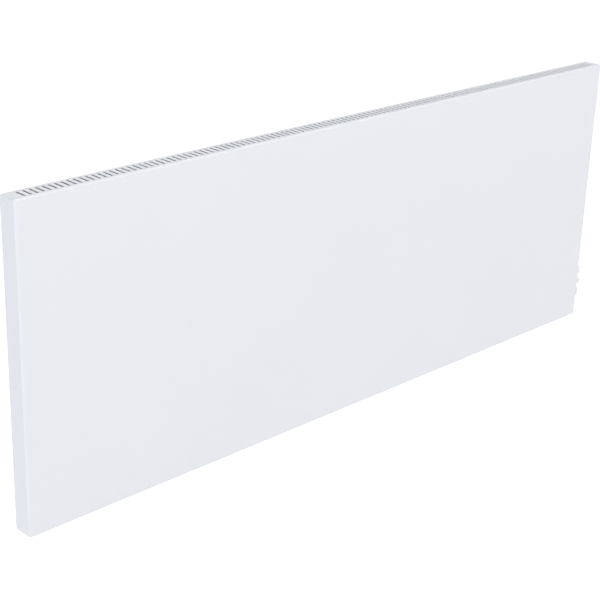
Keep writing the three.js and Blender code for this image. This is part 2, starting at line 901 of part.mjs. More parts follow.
function escutcheon() {
  const outline = roundedRectangle(
    escutcheonDepth,
    escutcheonHeight,
    escutcheonCorner,
    controlAxisY,
    controlAxisZ,
  );
  const plate = pushedRounded(outline, 'x', endFace + fitGap, plateFace, escutcheonEdge, 1, 4);
  const neckHole = pushed(
    disc(thermostatNeckRadius + fitGap, controlAxisY, controlAxisZ),
    'x',
    endFace,
    plateFace + 1,
    16,
  );
  return cut(plate, neckHole, ...switchOpenings(endFace, plateFace + 1, fitGap));
}

function blade(tipX, axisY, axisZ) {
  return block(
    tipX,
    tipX + bladeLength + 1,
    axisY - bladeSheet / 2,
    axisY + bladeSheet / 2,
    axisZ - bladeWidth / 2,
    axisZ + bladeWidth / 2,
  );
}

function thermostatBody() {
  const can = block(
    thermostatBack,
    endInside - fitGap,
    controlAxisY - thermostatHalfWidth,
    controlAxisY + thermostatHalfWidth,
    controlAxisZ - thermostatHalfHeight,
    controlAxisZ + thermostatHalfHeight,
  );
  const neck = pushed(
    disc(thermostatNeckRadius, controlAxisY, controlAxisZ),
    'x',
    endInside - fitGap - 1,
    neckEnd,
    16,
  );
  const bore = pushed(
    disc(spindleRadius + fitGap, controlAxisY, controlAxisZ),
    'x',
    spindleRoot - fitGap,
    neckEnd + 1,
    16,
  );
  const blades = [-1, 1].map((side) => (
    blade(thermostatBladeTip, controlAxisY + side * bladeOffset, controlAxisZ)
  ));
  return cut(join(can, neck, ...blades), bore);
}

// The spindle and the bore of the knob share one outline: round, with a flat on the underside.
function spindleOutline(clearance) {
  const radius = spindleRadius + clearance;
  const flatAt = -(spindleRadius - spindleFlat) - clearance;
  const half = Math.acos(-flatAt / radius);
  const shape = new THREE.Shape();
  shape.absarc(controlAxisY, controlAxisZ, radius, -Math.PI / 2 + half, 1.5 * Math.PI - half, false);
  return shape;
}

function thermostatSpindle() {
  const flatFrom = knobBase - looseGap;
  const outline = disc(spindleRadius, controlAxisY, controlAxisZ);
  const round = pushed(outline, 'x', spindleRoot, flatFrom, 16);
  const flatted = pushed(spindleOutline(0), 'x', flatFrom - 1, knobBase + spindleInKnob, 14);
  return join(round, flatted);
}

// A shallow-fluted knob with a pointer groove across the rim of its face.
function thermostatKnob() {
  const points = [];
  const steps = knobLobes * 3;
  for (let i = 0; i < steps; i += 1) {
    const angle = (i / steps) * 2 * Math.PI;
    const radius = knobRadius - knobLobeDepth * (0.5 - 0.5 * Math.cos(angle * knobLobes));
    const y = controlAxisY + radius * Math.cos(angle);
    const z = controlAxisZ + radius * Math.sin(angle);
    points.push(new THREE.Vector2(y, z));
  }
  const face = knobBase + knobHeight;
  const grip = pushedRounded(new THREE.Shape(points), 'x', knobBase, face, knobEdge, 2);
  const boreEnd = knobBase + spindleInKnob + fitGap;
  const bore = pushed(spindleOutline(fitGap), 'x', knobBase - 1, boreEnd, 14);
  const pointer = block(
    face - pointerDepth,
    face + 1,
    controlAxisY - pointerWidth / 2,
    controlAxisY + pointerWidth / 2,
    controlAxisZ + knobRadius * pointerFrom,
    controlAxisZ + knobRadius * pointerTo,
  );
  return cut(grip, bore, pointer);
}

function switchZ(side) {
  return controlAxisZ + side * controlPitch;
}

function switchBody(side) {
  const centreZ = switchZ(side);
  const frameOutline = roundedRectangle(
    switchFrameLength,
    switchFrameHeight,
    switchCorner,
    controlAxisY,
    centreZ,
  );
  const frameFoot = plateFace + fitGap;
  const frame = pushedRounded(frameOutline, 'x', frameFoot, switchFace, switchFrameEdge, 1);
  const lower = block(
    switchBack,
    frameFoot + 1,
    controlAxisY - switchBodyLength / 2,
    controlAxisY + switchBodyLength / 2,
    centreZ - switchBodyHeight / 2,
    centreZ + switchBodyHeight / 2,
  );
  const well = block(
    switchBack + switchFloor,
    switchFace + 1,
    controlAxisY - rockerLength / 2 - fitGap,
    controlAxisY + rockerLength / 2 + fitGap,
    centreZ - rockerHeight / 2 - fitGap,
    centreZ + rockerHeight / 2 + fitGap,
  );
  const pinHalf = rockerHeight / 2 + rockerPinReach + fitGap;
  const pinHole = pushed(
    disc(rockerPinRadius + fitGap, rockerPivotX, controlAxisY),
    'z',
    centreZ - pinHalf,
    centreZ + pinHalf,
    10,
  );
  const blades = [-1, 1].map((end) => (
    blade(switchBladeTip, controlAxisY + end * bladeOffset, centreZ)
  ));
  return cut(join(frame, lower, ...blades), well, pinHole);
}

// Two flat wings that meet in a shallow V, resting with the front wing raised.
function rocker(side) {
  const half = rockerLength / 2;
  const swing = THREE.MathUtils.degToRad(rockerTravelDegrees / 2);
  const pressed = new THREE.Vector2(rockerPivotDrop + rockerPressedRise, half);
  const level = pressed.clone().rotateAround(new THREE.Vector2(), -swing);
  const tip = [level.x, level.y];
  const valley = level.x - level.y * Math.tan(swing);
  const wing = [tip, [0, half * rockerShoulder], [-rockerPivotDrop, half * rockerFoot]];
  const mirrored = wing.map(([u, v]) => [u, -v]).reverse();
  const keel = [-rockerPivotDrop - rockerKeel, 0];
  const outline = [[valley, 0], ...wing, keel, ...mirrored].map(([u, v]) => {
    const placed = new THREE.Vector2(u, v).rotateAround(new THREE.Vector2(), swing);
    return [rockerPivotX + placed.x, controlAxisY + placed.y];
  });
  const centreZ = switchZ(side);
  const wings = pushed(outline, 'z', centreZ - rockerHeight / 2, centreZ + rockerHeight / 2);
  const pinHalf = rockerHeight / 2 + rockerPinReach;
  const pinOutline = disc(rockerPinRadius, rockerPivotX, controlAxisY);
  const pin = pushed(pinOutline, 'z', centreZ - pinHalf, centreZ + pinHalf, 10);
  return join(wings, pin);
}

// ---- terminals, cut-out and leads ----

function poleX(index) {
  return terminalBlockX + (index - 1) * terminalPolePitch;
}

function terminalBlock() {
  const outline = roundedRectangle(
    terminalBlockWidth,
    terminalBlockHeight,
    terminalBlockCorner,
    terminalBlockX,
    terminalBlockAt,
  );
  const front = seat - fitGap - terminalBlockDepth;
  const base = pushed(outline, 'y', front, seat - fitGap, 2);
  const wells = [0, 1, 2].map((index) => (
    pushed(disc(terminalWellRadius, poleX(index), terminalBlockAt), 'y', front - 1, terminalBlockY, 10)
  ));
  const grooves = [0.5, 1.5].map((index) => block(
    poleX(index) - terminalGroove / 2,
    poleX(index) + terminalGroove / 2,
    front - 1,
    terminalBlockY,
    terminalBlockBottom - 1,
    terminalBlockAt + terminalBlockHeight,
  ));
  return cut(base, ...wells, ...grooves);
}

// Stud and nut on the rear panel that the earth lead is clamped under.
function earthPost() {
  const back = seat - fitGap;
  const nutOutline = disc(earthNutRadius, poleX(0), earthPostAt);
  const nut = pushed(nutOutline, 'y', back - earthNutHeight, back, 6);
  const stud = pushed(
    disc(earthStudRadius, poleX(0), earthPostAt),
    'y',
    back - earthStudLength,
    back - earthNutHeight / 2,
    12,
  );
  return join(nut, stud);
}

function thermalCutout() {
  const back = shieldFace - fitGap;
  const can = turnedAboutY([
    [0, back],
    [cutoutRadius, back],
    [cutoutRadius, back - cutoutBrim],
    [cutoutRadius - cutoutStep, back - cutoutBrim - cutoutSlope],
    [cutoutRadius - cutoutStep, cutoutFront],
    [0, cutoutFront],
  ].reverse(), cutoutX, cutoutAt, 20);
  const blades = block(
    cutoutX - cutoutReach,
    cutoutX + cutoutReach,
    cutoutBladeY - bladeSheet / 2,
    cutoutBladeY + bladeSheet / 2,
    cutoutAt - bladeWidth / 2,
    cutoutAt + bladeWidth / 2,
  );
  return join(can, blades);
}

// Insulating boot over a terminal pin of the heating rod, closed at its outer end.
function terminalBoot(side) {
  const rodEnd = side < 0 ? elementLeft - rodOverhang : elementRight + rodOverhang;
  const inner = rodEnd + side * fitGap;
  const outer = rodEnd + side * (pinLength + fitGap + bootCap);
  const bore = pinRadius + fitGap;
  const profile = [
    [bore, inner],
    [bootRadius, inner],
    [bootRadius, outer],
    [0, outer],
    [0, rodEnd + side * (pinLength + fitGap)],
    [bore, rodEnd + side * (pinLength + fitGap)],
    [bore, inner],
  ];
  return turnedAboutX(side > 0 ? profile : profile.reverse(), elementAxisY, elementAxisZ, 16);
}

// Straight stretches joined by round bends. It is stepped from ring to ring, not by length,
// so that a long straight stretch costs one step.
class Route extends THREE.Curve {
  constructor(corners, radius) {
    super();
    const points = corners.map((corner) => new THREE.Vector3(...corner));
    this.stations = [];
    this.add(points[0], points[1].clone().sub(points[0]).normalize());
    for (let i = 1; i < points.length - 1; i += 1) {
      this.bend(points[i - 1], points[i], points[i + 1], radius);
    }
    const last = points.length - 1;
    this.add(points[last], points[last].clone().sub(points[last - 1]).normalize());
  }

  add(point, tangent) {
    this.stations.push({ point, tangent });
  }

  bend(before, corner, after, radius) {
    const into = corner.clone().sub(before).normalize();
    const out = after.clone().sub(corner).normalize();
    const turn = into.angleTo(out);
    const inward = out.clone().addScaledVector(into, -into.dot(out)).normalize();
    const start = corner.clone().addScaledVector(into, -radius * Math.tan(turn / 2));
    const centre = start.clone().addScaledVector(inward, radius);
    for (let i = 0; i <= wireBendSteps; i += 1) {
      const angle = (turn * i) / wireBendSteps;
      const point = centre.clone()
        .addScaledVector(inward, -radius * Math.cos(angle))
        .addScaledVector(into, radius * Math.sin(angle));
      const tangent = into.clone()
        .multiplyScalar(Math.cos(angle))
        .addScaledVector(inward, Math.sin(angle));
      this.add(point, tangent);
    }
  }

  at(fraction) {
    return this.stations[Math.round(fraction * (this.stations.length - 1))];
  }

  getPointAt(fraction) {
    return this.at(fraction).point.clone();
  }

  getTangentAt(fraction) {
    return this.at(fraction).tangent.clone();
  }
}

function wire(corners) {
  const route = new Route(corners, wireBend);
  const section = new THREE.Shape();
  section.absarc(0, 0, wireRadius, 0, 2 * Math.PI, false);
  const geometry = new THREE.ExtrudeGeometry(section, {
    steps: route.stations.length - 1,
    extrudePath: route,
    curveSegments: 3,
  });
  return solidOf(geometry);
}

function wireClip(centreX) {
  const base = block(
    centreX - wireClipLength / 2,
    centreX + wireClipLength / 2,
    seat - fitGap - wireClipBase,
    seat - fitGap,
    returnWireAt - wireClipHeight / 2,
    returnWireAt + wireClipHeight / 2,
  );
  const low = centreX - wireClipLength / 2;
  const high = centreX + wireClipLength / 2;
  const outer = wireRadius + fitGap + wireClipRing;
  const ring = pushed(disc(outer, returnWireY, returnWireAt), 'x', low, high, 16);
  const stem = block(
    low,
    high,
    returnWireY,
    seat - fitGap - wireClipBase / 2,
    returnWireAt - wireClipRing,
    returnWireAt + wireClipRing,
  );
  const boreOutline = disc(wireRadius + fitGap, returnWireY, returnWireAt);
  const bore = pushed(boreOutline, 'x', low - 1, high + 1, 12);
  const mouth = block(
    low - 1,
    high + 1,
    returnWireY - outer - 1,
    returnWireY,
    returnWireAt - wireClipMouth / 2,
    returnWireAt + wireClipMouth / 2,
  );
  return cut(join(ring, stem, base), bore, mouth);
}

// ---- where the leads run ----

const liveRoute = [
  [poleX(2), returnWireY, underBlock],
  [poleX(2), rearLeadY, switchZ(1)],
  [switchTip, rearLeadY, switchZ(1)],
];
const switchedRoute = [
  [switchTip, controlLeadY, switchZ(1)],
  [thermostatTip - leadLoop, controlLeadY, switchZ(1)],
  [thermostatTip - leadLoop, controlLeadY, controlAxisZ],
  [thermostatTip, controlLeadY, controlAxisZ],
];
const economyRoute = [
  [thermostatTip, rearLeadY, controlAxisZ],
  [thermostatTip - leadLoop, rearLeadY, controlAxisZ],
  [thermostatTip - leadLoop, rearLeadY, switchZ(-1)],
  [switchTip, rearLeadY, switchZ(-1)],
];
const heatingRoute = [
  [switchTip, controlLeadY, switchZ(-1)],
  [thermostatTip - 2 * leadLoop, controlLeadY, switchZ(-1)],
  [thermostatTip - 2 * leadLoop, controlLeadY, cutoutAt],
  [partitionAt - 2 * wireBend, controlLeadY, cutoutAt],
  [cutoutX + cutoutReach + wireBend, cutoutBladeY, cutoutAt],
  [cutoutX + cutoutReach + fitGap, cutoutBladeY, cutoutAt],
];
const cutoutRoute = [
  [cutoutX - cutoutReach - fitGap, cutoutBladeY, cutoutAt],
  [cutoutX - cutoutReach - leadLoop, cutoutBladeY, cutoutAt],
  [cutoutX - cutoutReach - leadLoop, cutoutBladeY, elementAxisZ + elementHeight / 2 + leadLoop],
  [rightPinX, elementAxisY, elementAxisZ + elementHeight / 2 + leadLoop],
  [rightPinX, elementAxisY, bootTop],
];
const returnRoute = [
  [leftPinX, elementAxisY, bootBottom],
  [leftPinX, returnWireY, returnWireAt],
  [poleX(1), returnWireY, returnWireAt],
  [poleX(1), returnWireY, underBlock],
];
const earthRoute = [
  [poleX(0), returnWireY, underBlock],
  [poleX(0), returnWireY, earthPostAt + earthNutRadius + fitGap],
];

piece('bracket_upright_left', upright(-1), galvanised);
piece('bracket_upright_right', upright(1), galvanised);
piece('bracket_crossbar_lower', crossbar(0), galvanised);
piece('bracket_crossbar_upper', crossbar(upperCrossbarAt), galvanised);
piece('latch_clip_left', latchClip(-1), springSteel);
piece('latch_clip_right', latchClip(1), springSteel);
piece('front_casing', frontCasing(), white);
piece('rear_panel', rearPanel(), galvanised);
piece('heat_shield', heatShield(), aluminium);
piece('element_extrusion', elementExtrusion(), aluminium);
piece('element_rod', elementRod(), steelTube);
piece('element_bracket_left', elementBracket(-1), galvanised);
piece('element_bracket_right', elementBracket(1), galvanised);
piece('element_bush_left', elementBush(-1), ceramic);
piece('element_bush_right', elementBush(1), ceramic);
piece('element_rest', elementRest(), galvanised);
piece('partition', partition(), galvanised);
piece('lead_grommet_upper', leadGrommet(controlLeadY, cutoutAt), blackRubber);
piece('lead_grommet_lower', leadGrommet(returnWireY, returnWireAt), blackRubber);
piece('supply_grommet', supplyGrommet(), blackRubber);
piece('escutcheon', escutcheon(), whitePlastic);
piece('thermostat_body', thermostatBody(), blackPlastic);
piece('thermostat_spindle', thermostatSpindle(), brass);
piece('thermostat_knob', thermostatKnob(), whitePlastic);
piece('switch_body_upper', switchBody(1), whitePlastic);
piece('switch_body_lower', switchBody(-1), whitePlastic);
piece('switch_rocker_upper', rocker(1), whitePlastic);
piece('switch_rocker_lower', rocker(-1), whitePlastic);
piece('terminal_block', terminalBlock(), ceramic);
piece('earth_post', earthPost(), brass);
piece('thermal_cutout', thermalCutout(), blackPlastic);
piece('terminal_boot_left', terminalBoot(-1), blackRubber);
piece('terminal_boot_right', terminalBoot(1), blackRubber);
piece('wire_live', wire(liveRoute), brownWire);
piece('wire_switched', wire(switchedRoute), brownWire);
piece('wire_economy', wire(economyRoute), brownWire);
piece('wire_heating', wire(heatingRoute), brownWire);
piece('wire_cutout', wire(cutoutRoute), brownWire);
piece('wire_return', wire(returnRoute), blueWire);
piece('wire_earth', wire(earthRoute), earthWire);
piece('wire_clip_left', wireClip(elementLeft + elementEndMargin), whitePlastic);
piece('wire_clip_middle', wireClip(elementMiddle), whitePlastic);
piece('wire_clip_right', wireClip(elementRight - elementEndMargin), whitePlastic);

export default heater;
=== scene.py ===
import json
import math

import bmesh
import bpy
from mathutils import Matrix, Vector


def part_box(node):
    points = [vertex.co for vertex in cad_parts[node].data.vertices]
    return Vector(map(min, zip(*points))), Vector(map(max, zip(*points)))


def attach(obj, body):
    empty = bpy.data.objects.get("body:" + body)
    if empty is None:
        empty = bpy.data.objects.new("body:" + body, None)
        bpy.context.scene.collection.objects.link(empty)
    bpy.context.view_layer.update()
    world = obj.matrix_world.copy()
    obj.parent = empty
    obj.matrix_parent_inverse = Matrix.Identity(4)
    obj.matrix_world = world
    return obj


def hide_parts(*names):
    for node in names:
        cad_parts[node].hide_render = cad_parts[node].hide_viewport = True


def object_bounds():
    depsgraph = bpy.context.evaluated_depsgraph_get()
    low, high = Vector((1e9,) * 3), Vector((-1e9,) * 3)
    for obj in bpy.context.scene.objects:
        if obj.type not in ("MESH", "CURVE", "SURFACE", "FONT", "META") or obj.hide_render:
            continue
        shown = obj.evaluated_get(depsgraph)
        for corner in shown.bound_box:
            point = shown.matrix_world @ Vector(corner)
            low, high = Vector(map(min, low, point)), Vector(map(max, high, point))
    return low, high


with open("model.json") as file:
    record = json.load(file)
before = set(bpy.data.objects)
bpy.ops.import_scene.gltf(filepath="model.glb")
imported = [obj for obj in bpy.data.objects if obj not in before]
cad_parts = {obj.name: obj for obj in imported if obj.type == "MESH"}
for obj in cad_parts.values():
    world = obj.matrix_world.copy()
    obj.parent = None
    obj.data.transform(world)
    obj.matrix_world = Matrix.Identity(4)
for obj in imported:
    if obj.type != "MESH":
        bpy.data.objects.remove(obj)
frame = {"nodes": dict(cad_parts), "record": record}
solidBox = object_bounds()          # the box of the solids, before anything is added

mm = 0.001
hair = 0.001 * mm               # places closer than this are one place
sliver = 0.01 * mm              # for what lies close but doesn't quite touch
aligned = 0.999                 # least cosine of directions that count as one
flatAngle = math.radians(0.5)   # faces that turn by less than this make one flat
foldAngle = 0.3                 # edges that turn by less than this aren't folds
acrossX = Vector((1, 0, 0))
acrossY = Vector((0, 1, 0))
acrossZ = Vector((0, 0, 1))


# Camera, at the place that the casing's edges in the photo give.
camera = {
    "place": (-1.2886, -1.2573, 0.8174),
    "right": (0.7189, -0.6945, 0.0302),
    "up": (0.2408, 0.2896, 0.9264),
    "lens": 86.85,
    "sensor": 36,
    "farEnd": 60,
}


def placeCamera():
    data = bpy.data.cameras.new("camera")
    data.lens = camera["lens"]
    data.sensor_width = camera["sensor"]
    data.clip_end = camera["farEnd"]
    right = Vector(camera["right"]).normalized()
    back = right.cross(Vector(camera["up"])).normalized()
    up = back.cross(right)
    turn = Matrix((right, up, back)).transposed()
    eye = bpy.data.objects.new("camera", data)
    eye.matrix_world = Matrix.Translation(camera["place"]) @ turn.to_4x4()
    bpy.context.scene.collection.objects.link(eye)
    bpy.context.scene.camera = eye


placeCamera()
bpy.context.scene.view_settings.view_transform = "Standard"
print("camera placed")


# Shader building: sums on sockets read as plain arithmetic.
class Value:
    def __init__(self, finish, socket):
        self.finish = finish
        self.socket = socket

    def __add__(self, other):
        return self.finish.sum("ADD", self, other)

    def __radd__(self, other):
        return self.finish.sum("ADD", other, self)

    def __sub__(self, other):
        return self.finish.sum("SUBTRACT", self, other)

    def __rsub__(self, other):
        return self.finish.sum("SUBTRACT", other, self)

    def __mul__(self, other):
        return self.finish.sum("MULTIPLY", self, other)

    def __rmul__(self, other):
        return self.finish.sum("MULTIPLY", other, self)

    def __truediv__(self, other):
        return self.finish.sum("DIVIDE", self, other)

    def __rtruediv__(self, other):
        return self.finish.sum("DIVIDE", other, self)

    def __gt__(self, other):
        return self.finish.sum("GREATER_THAN", self, other)

    def __lt__(self, other):
        return self.finish.sum("LESS_THAN", self, other)


class Finish:
    def __init__(self, name, kind="materials"):     # a world's nodes are made the same way
        self.owner = getattr(bpy.data, kind).new(name)
        self.owner.use_nodes = True
        self.tree = self.owner.node_tree
        self.tree.nodes.clear()
        self.place = self.node("ShaderNodeTexCoord", result="Object")

    def node(self, kind, settings=None, sockets=None, result=0):
        made = self.tree.nodes.new(kind)
        for key, value in (settings or {}).items():
            if key == "stops":
                self.setStops(made.color_ramp, value)
            else:
                setattr(made, key, value)
        for key, value in (sockets or {}).items():
            if isinstance(value, Value):
                self.tree.links.new(value.socket, made.inputs[key])
            else:
                made.inputs[key].default_value = value
        return Value(self, made.outputs[result]) if made.outputs else None

    def setStops(self, ramp, stops):
        while len(ramp.elements) < len(stops):
            ramp.elements.new(0.5)
        for element, (position, tint) in zip(ramp.elements, stops):
            element.position = position
            element.color = tint

    def sum(self, operation, first, second):
        return self.node("ShaderNodeMath", {"operation": operation}, {0: first, 1: second})

    def noise(self, scale, detail=2.0, roughness=0.5, stretch=(1, 1, 1)):
        place = self.node("ShaderNodeMapping", sockets={"Vector": self.place, "Scale": stretch})
        sockets = {"Vector": place, "Scale": scale, "Detail": detail, "Roughness": roughness}
        return self.node("ShaderNodeTexNoise", sockets=sockets)

    def cells(self, scale):          # flat patches, each of its own random colour
        sockets = {"Vector": self.place, "Scale": scale}
        return self.node("ShaderNodeTexVoronoi", sockets=sockets, result="Color")

    def mixed(self, mask, first, second):       # by number, as its sockets share their names
        settings = {"data_type": "RGBA"}
        return self.node("ShaderNodeMix", settings, {0: mask, 6: first, 7: second}, 2)

    def ramp(self, mask, stops):
        return self.node("ShaderNodeValToRGB", {"stops": stops}, {"Fac": mask})

    def between(self, mask, low, high):
        return mask * (high - low) + low

    def bump(self, height, depth):
        sockets = {"Height": height, "Distance": depth, "Strength": 1.0}
        return self.node("ShaderNodeBump", sockets=sockets)

    def surface(self, **sockets):
        named = {key.replace("_", " "): value for key, value in sockets.items()}
        shader = self.node("ShaderNodeBsdfPrincipled", sockets=named)
        self.node("ShaderNodeOutputMaterial", sockets={"Surface": shader})
        return self.owner


def tone(red, green, blue):      # display levels of 0 to 255 into linear colour
    def linear(level):
        share = level / 255
        return share / 12.92 if share <= 0.04045 else ((share + 0.055) / 1.055) ** 2.4
    return (linear(red), linear(green), linear(blue), 1)


# Finishes. Scales are repeats to the metre.
paint = {
    "film": tone(231, 233, 239),
    "thinFilm": tone(228.5, 230.5, 236.5),
    "cloudScale": 7,
    "peelScale": 460,
    "peelShare": 0.8,
    "grainScale": 2400,
    "depth": 0.03 * mm,
    "roughness": (0.36, 0.44),
}


def powderCoat():
    finish = Finish("powder_coat")
    cloud = finish.noise(paint["cloudScale"], detail=1)
    peel = finish.noise(paint["peelScale"], detail=1)
    grain = finish.noise(paint["grainScale"], detail=1)
    height = peel * paint["peelShare"] + grain * (1 - paint["peelShare"])
    return finish.surface(
        Base_Color=finish.mixed(cloud, paint["thinFilm"], paint["film"]),
        Roughness=finish.between(grain, *paint["roughness"]),
        Normal=finish.bump(height, paint["depth"]),
    )


moulding = {
    "white": {"colour": tone(229, 231, 234), "shade": tone(225, 227, 230),
              "roughness": (0.42, 0.56)},
    "black": {"colour": tone(44, 46, 48), "shade": tone(36, 38, 40), "roughness": (0.4, 0.58)},
    "grainScale": 3200,
    "grainDepth": 0.02 * mm,
    "cloudScale": 40,
}


def mouldedPlastic(name):
    finish = Finish(f"moulded_{name}")
    pigment = moulding[name]
    spark = finish.noise(moulding["grainScale"], detail=2, roughness=0.6)
    cloud = finish.noise(moulding["cloudScale"], detail=2)
    return finish.surface(
        Base_Color=finish.mixed(cloud, pigment["shade"], pigment["colour"]),
        Roughness=finish.between(spark, *pigment["roughness"]),
        Normal=finish.bump(spark, moulding["grainDepth"]),
    )


zinc = {
    "light": tone(190, 193, 196),
    "dark": tone(170, 174, 177),
    "spangleScale": 320,
    "fineScale": 900,
    "stainScale": 6,
    "tintShares": (0.55, 0.25, 0.2),       # of spangle, fine grain and stain
    "glossShares": (0.6, 0.4),             # of spangle and fine grain
    "spangleRelief": 0.3,
    "depth": 0.01 * mm,
    "metallic": 0.9,
    "roughness": (0.34, 0.5),
}


def galvanised():
    finish = Finish("galvanised_sheet")
    cell = finish.cells(zinc["spangleScale"])
    spangle = finish.node("ShaderNodeSeparateColor", sockets={"Color": cell})
    fine = finish.noise(zinc["fineScale"], detail=3, roughness=0.7)
    stain = finish.noise(zinc["stainScale"], detail=3)
    inSpangle, inFine, inStain = zinc["tintShares"]
    mask = spangle * inSpangle + fine * inFine + stain * inStain
    inSpangle, inFine = zinc["glossShares"]
    return finish.surface(
        Base_Color=finish.mixed(mask, zinc["dark"], zinc["light"]),
        Metallic=zinc["metallic"],
        Roughness=finish.between(spangle * inSpangle + fine * inFine, *zinc["roughness"]),
        Normal=finish.bump(fine + spangle * zinc["spangleRelief"], zinc["depth"]),
    )


rolled = {
    "streakShare": 0.65,
    "blotchScale": 25,
    "depth": 0.008 * mm,
    "metallic": 0.95,
    "spring_steel": {"light": tone(150, 153, 156), "dark": tone(118, 121, 125),
                     "stretch": (30, 900, 30), "roughness": (0.22, 0.38)},
    "drawn_aluminium": {"light": tone(205, 207, 208), "dark": tone(178, 180, 182),
                        "stretch": (12, 1400, 1400), "roughness": (0.26, 0.42)},
    "turned_brass": {"light": tone(198, 168, 92), "dark": tone(168, 136, 66),
                     "stretch": (900, 60, 60), "roughness": (0.25, 0.4)},
}


def rolledMetal(name):           # streaks that run the way that the metal was worked
    finish = Finish(name)
    metal = rolled[name]
    streaks = finish.noise(1, detail=4, roughness=0.65, stretch=metal["stretch"])
    blotch = finish.noise(rolled["blotchScale"], detail=3)
    mask = streaks * rolled["streakShare"] + blotch * (1 - rolled["streakShare"])
    return finish.surface(
        Base_Color=finish.mixed(mask, metal["dark"], metal["light"]),
        Metallic=rolled["metallic"],
        Roughness=finish.between(mask, *metal["roughness"]),
        Normal=finish.bump(streaks, rolled["depth"]),
    )


sheath = {
    "bands": [(0.3, tone(150, 132, 98)), (0.5, tone(140, 142, 142)), (0.68, tone(96, 103, 118))],
    "bandStretch": (22, 60, 60),
    "grainScale": 1500,
    "grainDepth": 0.006 * mm,
    "metallic": 0.9,
    "roughness": (0.3, 0.48),
}


def heatedTube():                # steel tinted straw and blue by its own heat
    finish = Finish("heated_tube")
    drift = finish.noise(1, detail=3, stretch=sheath["bandStretch"])
    grain = finish.noise(sheath["grainScale"], detail=3)
    return finish.surface(
        Base_Color=finish.ramp(drift, sheath["bands"]),
        Metallic=sheath["metallic"],
        Roughness=finish.between(grain, *sheath["roughness"]),
        Normal=finish.bump(grain, sheath["grainDepth"]),
    )


steatite = {
    "tones": [(0.3, tone(196, 188, 170)), (0.42, tone(226, 220, 206)), (1.0, tone(233, 229, 218))],
    "speckScale": 1400,
    "speckShare": 0.7,
    "bloomScale": 60,
    "depth": 0.02 * mm,
    "roughness": (0.45, 0.62),
}


def firedCeramic():              # glazed only thinly, with darker specks
    finish = Finish("fired_ceramic")
    speck = finish.noise(steatite["speckScale"], detail=2, roughness=0.7)
    bloom = finish.noise(steatite["bloomScale"], detail=2)
    mask = speck * steatite["speckShare"] + bloom * (1 - steatite["speckShare"])
    return finish.surface(
        Base_Color=finish.ramp(mask, steatite["tones"]),
        Roughness=finish.between(bloom, *steatite["roughness"]),
        Normal=finish.bump(speck, steatite["depth"]),
    )


rubber = {
    "clean": tone(30, 30, 31),
    "dusty": tone(48, 48, 49),
    "dustScale": 220,
    "grainScale": 2600,
    "grainDepth": 0.02 * mm,
    "roughness": (0.62, 0.82),
}


def dustedRubber():
    finish = Finish("dusted_rubber")
    dust = finish.noise(rubber["dustScale"], detail=4, roughness=0.7)
    grain = finish.noise(rubber["grainScale"], detail=2)
    return finish.surface(
        Base_Color=finish.mixed(dust, rubber["clean"], rubber["dusty"]),
        Roughness=finish.between(dust, *rubber["roughness"]),
        Normal=finish.bump(grain, rubber["grainDepth"]),
    )


sleeving = {
    "brown": (tone(98, 56, 32), tone(112, 66, 38)),
    "blue": (tone(38, 76, 142), tone(46, 88, 160)),
    "green": tone(66, 128, 58),
    "yellow": tone(214, 196, 52),
    "turnsToMetre": 60,
    "greenShare": 0.45,
    "upright": (430.5 * mm, -35.4 * mm),   # X and Y of the striped lead's axis
    "rubScale": 500,
    "rubDepth": 0.01 * mm,
    "roughness": (0.4, 0.56),
}


def sleeve(name, colour=None):   # one colour, or two stripes that wind slowly round the lead
    finish = Finish(f"wire_sleeve_{name}")
    rub = finish.noise(sleeving["rubScale"], detail=3)
    return finish.surface(
        Base_Color=colour(finish) if colour else finish.mixed(rub, *sleeving[name]),
        Roughness=finish.between(rub, *sleeving["roughness"]),
        Normal=finish.bump(rub, sleeving["rubDepth"]),
    )


def stripes(finish):
    split = finish.node("ShaderNodeSeparateXYZ", sockets={"Vector": finish.place})
    along = split.socket.node.outputs
    centreX, centreY = sleeving["upright"]
    side = Value(finish, along["X"]) - centreX
    depth = Value(finish, along["Y"]) - centreY
    angle = finish.sum("ARCTAN2", side, depth) / math.pi
    climb = Value(finish, along["Z"]) * sleeving["turnsToMetre"]
    wave = finish.sum("FRACT", angle + climb, 0)
    return finish.mixed(wave > sleeving["greenShare"], sleeving["yellow"], sleeving["green"])


finishes = {                     # by material slot
    "white_paint": powderCoat(),
    "white_plastic": mouldedPlastic("white"),
    "black_plastic": mouldedPlastic("black"),
    "zinc_steel": galvanised(),
    "spring_steel": rolledMetal("spring_steel"),
    "aluminium": rolledMetal("drawn_aluminium"),
    "brass": rolledMetal("turned_brass"),
    "tube_steel": heatedTube(),
    "ceramic": firedCeramic(),
    "black_rubber": dustedRubber(),
    "wire_brown": sleeve("brown"),
    "wire_blue": sleeve("blue"),
    "wire_earth": sleeve("striped", stripes),
}
print("finishes mixed:", len(finishes))


# Modelling helpers. Everything is built in place, in metres.
def seated(bm, name, body, slot, replaced=(), sharp=32):
    mesh = bpy.data.meshes.new(name)
    for face in bm.faces:
        face.smooth = True
    bm.to_mesh(mesh)
    bm.free()
    mesh.set_sharp_from_angle(angle=math.radians(sharp))
    mesh.materials.append(finishes[slot])
    piece = bpy.data.objects.new(name, mesh)
    bpy.context.scene.collection.objects.link(piece)
    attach(piece, body)
    if replaced:
        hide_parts(*replaced)
    return piece


def thickened(piece, thickness, side=-1):
    wall = piece.modifiers.new("wall", "SOLIDIFY")
    wall.thickness = thickness
    wall.offset = side
    return wall


def walled(piece, thickness, rim, rimSteps=2):
    thickened(piece, thickness).use_even_offset = True
    softenRims(piece, rim, rimSteps)


